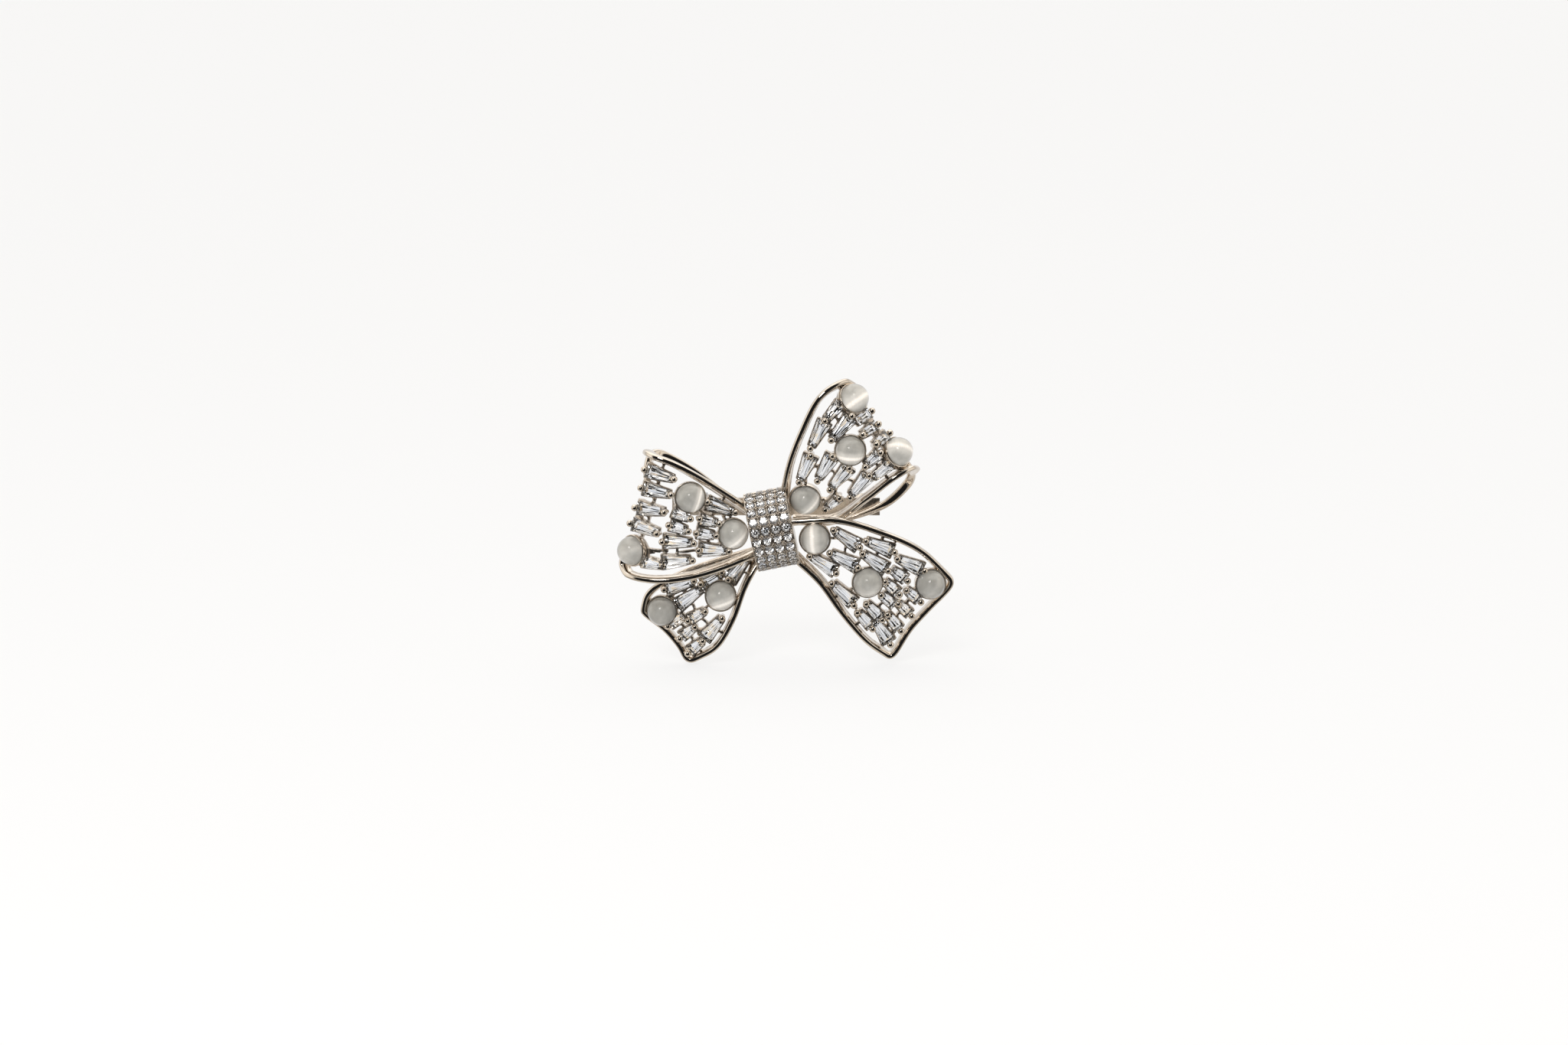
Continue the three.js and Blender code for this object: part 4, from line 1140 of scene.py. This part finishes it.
def prong_places(name):
    """A prong at each end of each tapered stone, where nothing else stands."""
    sizes = bpy.context.scene.brooch_sizes
    stones = STONES[name]
    places = []
    for stone in [each for each in stones if each.cut]:
        length = stone.cut[0]
        for side in (-1, 1):
            foot = stone.origin + stone.run * side * (length / 2 + PRONG_GAP)
            crowded = any(other.clearance(foot[None])[0] < (CUP_GAP if other.cut is None else STONE_GAP)
                          for other in stones if other is not stone)
            near = any(np.linalg.norm(foot - other[0]) < BEAD_GAP * sizes.bead for other in places)
            edges = (surface(name, np.linspace(0, LOOP_RIBS_END, 200), share) for share in (0.0, 1.0))
            on_rail = any(np.linalg.norm(points - foot, axis=1).min() < RAIL_GAP for points in edges)
            if not (crowded or near or on_rail):
                places.append((foot, stone))
    return places


def ribbon_prongs(name):
    """Round-headed prongs, which stand through the gallery and over the stones' ends."""
    sizes = bpy.context.scene.brooch_sizes
    matrices = []
    for foot, stone in prong_places(name):
        matrix = stone.matrix()
        matrix.translation = Vector(to_frame(foot + stone.out * PRONG_LIFT))
        matrices.append(matrix)
    shape = bead_shape(sizes.bead, sizes.bead * 0.72, PRONG_FOOT)
    return set_on_points(f"{name}_prongs", shape, matrices, polished_rhodium())


def ribbon_cups(name):
    """A cup for each of a ribbon's cabochons."""
    matrices = [stone.matrix() for stone in STONES[name] if stone.cut is None]
    return set_on_points(f"{name}_cups", cup_shape(), matrices, polished_rhodium())


RETURN_TURN = 0.55              # stations over which a return narrows behind its fold
RETURN_LAP = 0.18               # stations that a return laps in front of its fold
RETURN_NOSE = 8                 # rings that round its end
RETURN_MIDDLE = -0.17           # its middle and half height over the ribbon's surface
RETURN_HALF = 0.48
# Shares at a return's outer edge, at its inner edge, and at its inner edge by the fold.
RETURN_SHARES = {"left_loop": (0.0, 0.09, 0.2), "right_loop": (1.0, 0.9, 0.8)}


def return_strip(name, stations):
    """The strip that runs from a loop's fold back behind it: broad at the fold, then a narrow rail."""
    outline = [(0.5 + 0.5 * across, RETURN_MIDDLE + RETURN_HALF * height)
               for across, height in rounded_outline(22, 0.8, 0.85)]
    outer, run, fold = RETURN_SHARES[name]
    inner = run + (fold - run) * np.exp(-(((stations - FOLD) / RETURN_TURN) ** 2))
    columns = []
    for share, height in outline:
        shares = outer + (inner - outer) * share
        points = surface(name, stations, shares)
        outs = surface_axes(name, stations, shares)[1]
        columns.append(to_frame(points + outs * height))
    rings = [[column[k] for column in columns] for k in range(len(stations))]
    for k in range(RETURN_NOSE):
        middle = np.mean(rings[k], axis=0)
        size = math.sqrt(1 - (1 - (k + 0.5) / RETURN_NOSE) ** 2)
        rings[k] = [middle + (point - middle) * size for point in rings[k]]
    return new_piece(f"{name}_return_strip", *loft(rings), polished_rhodium())


class BROOCH_OT_ribbons(bpy.types.Operator):
    """Makes the four ribbons: rails, openwork galleries, cups and prongs"""
    bl_idname = "brooch.ribbons"
    bl_label = "Ribbons"

    def execute(self, context):
        for name in EDGES:
            pieces = [*ribbon_rails(name), ribbon_gallery(name), ribbon_prongs(name), ribbon_cups(name)]
            for piece in pieces:
                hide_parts(name)
                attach(piece, FIXED)
        return {"FINISHED"}


class BROOCH_OT_returns(bpy.types.Operator):
    """Makes the strips that run back from the loops' folds"""
    bl_idname = "brooch.returns"
    bl_label = "Loop returns"

    def execute(self, context):
        stations = np.linspace(FOLD - RETURN_LAP, RETURN_END, 150)
        for name in RETURN_SHARES:
            piece = return_strip(name, stations)
            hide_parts(f"{name}_return")
            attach(piece, FIXED)
        return {"FINISHED"}


# ---- stones ---------------------------------------------------------------------------------

def cabochon_piece(stone):
    """A high smooth dome with its own direction for the painted sheen band in a UV map."""
    radius = 2.0
    girdle = 0.35
    dome = 2.2
    profile = [(0.02, 0.0), (radius - 0.12, 0.0), (radius, 0.1), (radius, girdle)]
    steps = 22
    for k in range(1, steps + 1):
        angle = math.pi / 2 * k / steps
        profile.append((max(radius * math.cos(angle), 0.004), girdle + dome * math.sin(angle)))
    vertices, faces = turned(profile, 72)
    matrix = stone.matrix()
    piece = new_piece(f"{stone.name}_dome", [matrix @ Vector(point) for point in vertices], faces, cats_eye())
    angle, (right, up), width, glow, tone = SHEEN_BANDS[stone.name]
    turn = math.radians(angle)
    front_view = np.array([stone.run, stone.side])
    band = front_view @ (math.cos(turn), 0.0, math.sin(turn))
    band /= np.linalg.norm(band)
    middle = front_view @ (right, 0.0, up)
    # Each stone's painted sheen strength and its tone, as attributes for the material.
    for label, value in (("glow", glow), ("tone", tone)):
        values = [value] * len(piece.data.vertices)
        piece.data.attributes.new(label, "FLOAT", "POINT").data.foreach_set("value", values)
    layer = piece.data.uv_layers.new(name="band")
    inverse = matrix.inverted()
    for loop in piece.data.loops:
        x, y, _ = inverse @ piece.data.vertices[loop.vertex_index].co
        x, y = x / radius - middle[0], y / radius - middle[1]
        across = x * band[1] - y * band[0]
        run = x * band[0] + y * band[1]
        layer.data[loop.index].uv = (0.5 + across / 2.4 / width, 0.5 + run / 2.4)
    return piece


class BROOCH_OT_cabochons(bpy.types.Operator):
    """Makes the twelve cat's-eye cabochons"""
    bl_idname = "brooch.cabochons"
    bl_label = "Cabochons"

    def execute(self, context):
        for stones in STONES.values():
            for stone in [each for each in stones if each.cut is None]:
                piece = cabochon_piece(stone)
                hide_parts(stone.name)
                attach(piece, FIXED)
        return {"FINISHED"}


class BROOCH_OT_baguettes(bpy.types.Operator):
    """Sets the tapered step-cut stones, the named ones and the smallest ones"""
    bl_idname = "brooch.baguettes"
    bl_label = "Tapered stones"

    def execute(self, context):
        # A painted grey-blue dark reflection and a painted amber flash of fire.
        clear = zirconia("zirconia_clear", (0.50, 0.53, 0.58), (1.0, 0.72, 0.38))
        for name, stones in STONES.items():
            for cut_name, cut in CUTS.items():
                group = [each for each in stones if each.cut == cut]
                matrices = [each.matrix(GIRDLE_LIFT) for each in group]
                piece = set_on_points(f"{name}_{cut_name}_stones", step_cut_shape(cut),
                                      matrices, clear)
                named = [each.name for each in group if each.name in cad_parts]
                if named:
                    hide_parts(*named)
                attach(piece, FIXED)
        return {"FINISHED"}


# ---- knot -----------------------------------------------------------------------------------

GRAIN_INSET = 0.16              # least distance of a grain from the knot's edge
GRAIN_APART = 0.19              # distance of a grain from its crossing's middle
GRAIN_HEIGHT = -0.04
PAVE_HEIGHT = -0.12             # girdles and cross ribs under the knot's outline
KNOT = {"width": 5.9, "depth": 5.0, "height": 5.35, "middle_y": -1.2, "lean": 11.4, "hem": 0.7,
        "thickness": 1.15, "taper": 0.1}


def knot_outline(offset, count):
    """Points and outward directions round the knot's front, top to bottom, in its own plane."""
    height = KNOT["height"] - offset
    depth = KNOT["depth"] - offset
    angles = np.linspace(math.pi / 2, -math.pi / 2, count)
    points = np.stack([KNOT["middle_y"] - depth * np.cos(angles), height * np.sin(angles)], axis=1)
    outs = np.stack([-np.cos(angles) / depth, np.sin(angles) / height], axis=1)
    hem = height - KNOT["taper"] * (KNOT["hem"] - KNOT["middle_y"])
    tops = np.array([[KNOT["hem"], hem]])
    ends = np.array([[0.0, 1.0]])
    points = np.concatenate([tops, points, tops * (1, -1)])
    outs = np.concatenate([ends, outs, -ends])
    return points, unit(outs)


def knot_place(across, flat):
    """A point of the knot's own plane, as the bow's millimetres."""
    lean = math.radians(KNOT["lean"])
    x = across * math.cos(lean) - flat[..., 1] * math.sin(lean)
    z = across * math.sin(lean) + flat[..., 1] * math.cos(lean)
    return np.stack([x + KNOT_MIDDLE[0], flat[..., 0], z + KNOT_MIDDLE[1]], axis=-1)


def knot_sweep(section):
    """Vertices and faces of a section, (across, height) points, swept round the knot's front."""
    points, outs = knot_outline(0.0, 90)
    rings = []
    for point, out in zip(points, outs):
        ring = [knot_place(across, point + out * height) for across, height in section]
        rings.append(to_frame(np.array(ring)))
    return loft(rings)


def knot_band_piece(pitch):
    """The band the pave sits in: a deep trough between two thin rims, with ribs between columns."""
    half = KNOT["width"] / 2
    floor = -0.84
    band = [(-half, -0.12), (-half + 0.05, 0.0), (-half + 0.12, 0.0), (-half + 0.16, -0.1),
            (-half + 0.18, floor), (0.0, floor), (half - 0.18, floor), (half - 0.16, -0.1),
            (half - 0.12, 0.0), (half - 0.05, 0.0), (half, -0.12),
            (half, -KNOT["thickness"] + 0.1), (half - 0.1, -KNOT["thickness"]),
            (-half + 0.1, -KNOT["thickness"]), (-half, -KNOT["thickness"] + 0.1)]
    parts = [knot_sweep(band)]
    for k in range(3):
        middle = (k - 1) * pitch
        rib = [(middle + x, height) for x, height in
               [(-0.09, floor - 0.05), (-0.09, -0.16), (-0.05, -0.1), (0.05, -0.1), (0.09, -0.16),
                (0.09, floor - 0.05)]]
        parts.append(knot_sweep(rib))
    piece = new_piece("knot_band_seat", *join_parts(parts), cast_gallery())
    shade_by_angle(piece, 35)
    return piece


def knot_rib_shape():
    """A cross rib between two rows of stones, as long as the trough is wide."""
    half = KNOT["width"] / 2 - 0.15
    section = [(-0.09, -0.78), (-0.09, -0.06), (-0.05, 0.0), (0.05, 0.0), (0.09, -0.06), (0.09, -0.78)]
    rings = [[(x, y, z) for y, z in section] for x in np.linspace(-half, half, 9)]
    return shape_object("knot_rib_shape", *loft(rings), False)


def knot_rows(pitch):
    """Places round the knot's front, a pitch apart, with their outward directions."""
    points, outs = knot_outline(0.0, 400)
    lengths = lengths_along(points)
    count = int(lengths[-1] / pitch)
    start = (lengths[-1] - (count - 1) * pitch) / 2
    wanted = start + pitch * np.arange(count)
    return at_lengths(points, lengths, wanted), unit(at_lengths(outs, lengths, wanted))


def knot_matrix(across, place, out, height):
    """Where a shape stands on the knot: its place across, round the front, and over it."""
    lean = math.radians(KNOT["lean"])
    side = Vector((math.cos(lean), 0.0, math.sin(lean)))
    outward = Vector((-out[1] * math.sin(lean), out[0], out[1] * math.cos(lean))).normalized()
    other = outward.cross(side)
    matrix = Matrix((side, other, outward)).transposed().to_4x4()
    point = to_frame(knot_place(across, place + out * height))
    matrix.translation = Vector(point)
    return matrix


def knot_grains(places, outs, pitch):
    """Four raised grains at each crossing between the stones, kept inside the rims."""
    edge = KNOT["width"] / 2 - GRAIN_INSET
    grains = []
    for place, out in zip(places, outs):
        for k in range(5):
            for shift, lift in ((-GRAIN_APART, 0), (GRAIN_APART, 0), (0, GRAIN_APART), (0, -GRAIN_APART)):
                across = max(min((k - 2) * pitch + shift, edge), -edge)
                round_place = place + np.array((-out[1], out[0])) * lift
                grains.append(knot_matrix(across, round_place, out, GRAIN_HEIGHT))
    return grains


class BROOCH_OT_knot(bpy.types.Operator):
    """Makes the pave knot: its band, its small brilliants and the grains that hold them"""
    bl_idname = "brooch.knot"
    bl_label = "Pave knot"

    def execute(self, context):
        sizes = context.scene.brooch_sizes
        pitch = sizes.pave_pitch
        rows, outs = knot_rows(pitch)
        columns = [(k - 1.5) * pitch for k in range(4)]
        stones = [knot_matrix(x, place, out, PAVE_HEIGHT) for place, out in zip(rows, outs) for x in columns]
        between = (rows[:-1] + rows[1:]) / 2
        between_outs = unit((outs[:-1] + outs[1:]) / 2)
        ribs = [knot_matrix(0.0, place, out, PAVE_HEIGHT) for place, out in zip(between, between_outs)]
        grains = knot_grains(between, between_outs, pitch)
        # A painted dark blue-grey reflection and a painted warm flash of fire.
        brilliant = zirconia("zirconia_pave", (0.30, 0.35, 0.44), (1.0, 0.80, 0.55))
        seat = knot_band_piece(pitch)
        cross_ribs = set_on_points("knot_cross_ribs", knot_rib_shape(), ribs, cast_gallery())
        pave = set_on_points("knot_pave_stones", brilliant_shape(sizes.pave_radius), stones, brilliant)
        beads = set_on_points("knot_grain_beads", grain_shape(), grains, polished_rhodium())
        for piece in (seat, cross_ribs, pave, beads):
            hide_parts("knot_band")
            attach(piece, FIXED)
        return {"FINISHED"}


# ---- pin ------------------------------------------------------------------------------------

class BROOCH_OT_pin(bpy.types.Operator):
    """Finishes the bar pin, its hinge, its catch and its collar"""
    bl_idname = "brooch.pin"
    bl_label = "Pin"

    def execute(self, context):
        plated = satin_rhodium()
        steel = spring_steel()
        for node in ("pin_bar", "pin_hinge_block", "catch_body", "safety_collar", "knot_core"):
            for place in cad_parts[node].material_slots:
                place.material = plated
        for node in ("pin_stem", "pin_hinge_rivet"):
            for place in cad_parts[node].material_slots:
                place.material = steel
        return {"FINISHED"}


# ---- stage ----------------------------------------------------------------------------------

# The tent's grey, and its bright and dark panels: direction, the degrees from it where a panel
# starts to fade and where it ends, and colour.
TENT = (0.36, 0.33, 0.29)
PANELS = [
    ((0.0, 1.0, -0.1), 40, 80, (0.80, 0.80, 0.80)),
    ((0.0, 0.25, 1.0), 34, 52, (1.25, 1.20, 1.12)),
    ((-1.0, -0.15, 0.25), 24, 38, (0.95, 0.89, 0.80)),
    ((1.0, -0.15, 0.2), 22, 36, (0.85, 0.79, 0.70)),
    ((0.0, -0.2, -1.0), 30, 55, (0.62, 0.58, 0.52)),
    ((0.0, -1.0, 0.0), 52, 68, (0.012, 0.012, 0.012)),
    ((-0.22, -0.78, 0.60), 6, 8, (8.0, 7.8, 7.5)),
]


FLOOR_GAP = 0.0002              # metres between the brooch and the floor
CAMERA_SHIFT = Vector((-0.00027, -0.0008, -0.00017))   # its target, off the model's middle


def studio_world():
    """A grey tent with bright panels, and dark round the camera, for polished metal to show."""
    world = bpy.data.worlds.new("studio")
    bpy.context.scene.world = world
    world.use_nodes = True
    t = Tree(world.node_tree)
    background = world.node_tree.nodes["Background"]
    where = t.add("ShaderNodeTexCoord")
    total = None
    for direction, inner, outer, color in PANELS:
        towards = t.add("ShaderNodeVectorMath", operation="DOT_PRODUCT")
        towards.inputs[1].default_value = Vector(direction).normalized()
        t.link(where.outputs["Generated"], towards.inputs[0])
        panel = t.add("ShaderNodeMapRange")
        panel.interpolation_type = "SMOOTHSTEP"
        panel.inputs["From Min"].default_value = math.cos(math.radians(outer))
        panel.inputs["From Max"].default_value = math.cos(math.radians(inner))
        t.link(towards.outputs["Value"], panel.inputs["Value"])
        mix = t.add("ShaderNodeMix", data_type="RGBA")
        t.link(panel.outputs["Result"], mix.inputs["Factor"])
        mix.inputs["A"].default_value = (*TENT, 1.0)
        mix.inputs["B"].default_value = (*color, 1.0)
        if total:
            t.link(total, mix.inputs["A"])
        total = mix.outputs["Result"]
    path = t.add("ShaderNodeLightPath")
    seen = t.add("ShaderNodeMix", data_type="RGBA")
    t.link(path.outputs["Is Camera Ray"], seen.inputs["Factor"])
    t.link(total, seen.inputs["A"])
    seen.inputs["B"].default_value = (0.93, 0.93, 0.93, 1.0)
    t.link(seen.outputs["Result"], background.inputs["Color"])


def area_light(name, where, target, size, power):
    """A soft square light that faces a target."""
    lamp = bpy.data.lights.new(name, "AREA")
    lamp.shape = "SQUARE"
    lamp.size = size
    lamp.energy = power
    light = bpy.data.objects.new(name, lamp)
    light.location = where
    light.rotation_euler = (Vector(target) - Vector(where)).to_track_quat("-Z", "Y").to_euler()
    bpy.context.scene.collection.objects.link(light)
    return light


def pale_floor(height):
    """A plain floor, which polished metal doesn't mirror."""
    mesh = bpy.data.meshes.new("floor")
    reach = 6.0
    mesh.from_pydata([(-reach, -reach, height), (reach, -reach, height), (reach, reach, height),
                      (-reach, reach, height)], [], [(0, 1, 2, 3)])
    material = bpy.data.materials.new("pale_floor")
    material.use_nodes = True
    shader = material.node_tree.nodes["Principled BSDF"]
    shader.inputs["Base Color"].default_value = (0.20, 0.20, 0.20, 1.0)
    shader.inputs["Roughness"].default_value = 0.9
    shader.inputs["Specular IOR Level"].default_value = 0.0
    shader.inputs["Emission Color"].default_value = (1.0, 1.0, 1.0, 1.0)
    shader.inputs["Emission Strength"].default_value = 0.76
    mesh.materials.append(material)
    floor = bpy.data.objects.new("floor", mesh)
    bpy.context.scene.collection.objects.link(floor)
    floor.visible_glossy = False


def camera_at(target, azimuth, elevation, distance, lens):
    """A camera at a distance from its target, turned about it in degrees."""
    data = bpy.data.cameras.new("camera")
    data.lens = lens
    data.sensor_width = 36.0
    data.clip_start = 0.01
    camera = bpy.data.objects.new("camera", data)
    turn = math.radians(azimuth)
    rise = math.radians(elevation)
    back = Vector((-math.sin(turn) * math.cos(rise), -math.cos(turn) * math.cos(rise), math.sin(rise)))
    camera.location = Vector(target) + back * distance
    camera.rotation_euler = (-back).to_track_quat("-Z", "Y").to_euler()
    bpy.context.scene.collection.objects.link(camera)
    bpy.context.scene.camera = camera


class BROOCH_OT_stage(bpy.types.Operator):
    """Lays the pale floor, and sets the light and the camera"""
    bl_idname = "brooch.stage"
    bl_label = "Stage"

    def execute(self, context):
        low, high = (Vector(corner) for corner in CAD_BOX)
        middle = (low + high) / 2
        pale_floor(low.z - FLOOR_GAP)
        studio_world()
        fill = area_light("fill", middle + Vector((-0.10, -0.45, 0.35)), middle, size=0.30, power=1.3)
        fill.visible_glossy = False
        camera_at(middle + CAMERA_SHIFT, azimuth=0, elevation=10, distance=0.597, lens=100.0)
        context.scene.view_settings.view_transform = "Standard"
        return {"FINISHED"}


# ---- add-on ---------------------------------------------------------------------------------

class BROOCH_PT_panel(bpy.types.Panel):
    """Lists the brooch's pieces, sizes and colours"""
    bl_idname = "BROOCH_PT_panel"
    bl_label = "Brooch"
    bl_space_type = "VIEW_3D"
    bl_region_type = "UI"
    bl_category = "Brooch"

    def draw(self, context):
        layout = self.layout
        for step in STEPS:
            layout.operator(step.bl_idname)
        for group in (context.scene.brooch_sizes, context.scene.brooch_finish):
            for name in group.__annotations__:
                layout.prop(group, name)


STEPS = (BROOCH_OT_stage, BROOCH_OT_ribbons, BROOCH_OT_returns, BROOCH_OT_cabochons,
         BROOCH_OT_baguettes, BROOCH_OT_knot, BROOCH_OT_pin)
CLASSES = (BROOCH_PG_sizes, BROOCH_PG_finish, *STEPS, BROOCH_PT_panel)


def register():
    for item in CLASSES:
        bpy.utils.register_class(item)
    bpy.types.Scene.brooch_sizes = bpy.props.PointerProperty(type=BROOCH_PG_sizes)
    bpy.types.Scene.brooch_finish = bpy.props.PointerProperty(type=BROOCH_PG_finish)


def unregister():
    del bpy.types.Scene.brooch_finish
    del bpy.types.Scene.brooch_sizes
    for item in reversed(CLASSES):
        bpy.utils.unregister_class(item)


def main():
    register()
    bpy.ops.brooch.stage()
    bpy.ops.brooch.ribbons()
    bpy.ops.brooch.returns()
    bpy.ops.brooch.cabochons()
    bpy.ops.brooch.baguettes()
    bpy.ops.brooch.knot()
    bpy.ops.brooch.pin()


if __name__ == "__main__":
    main()
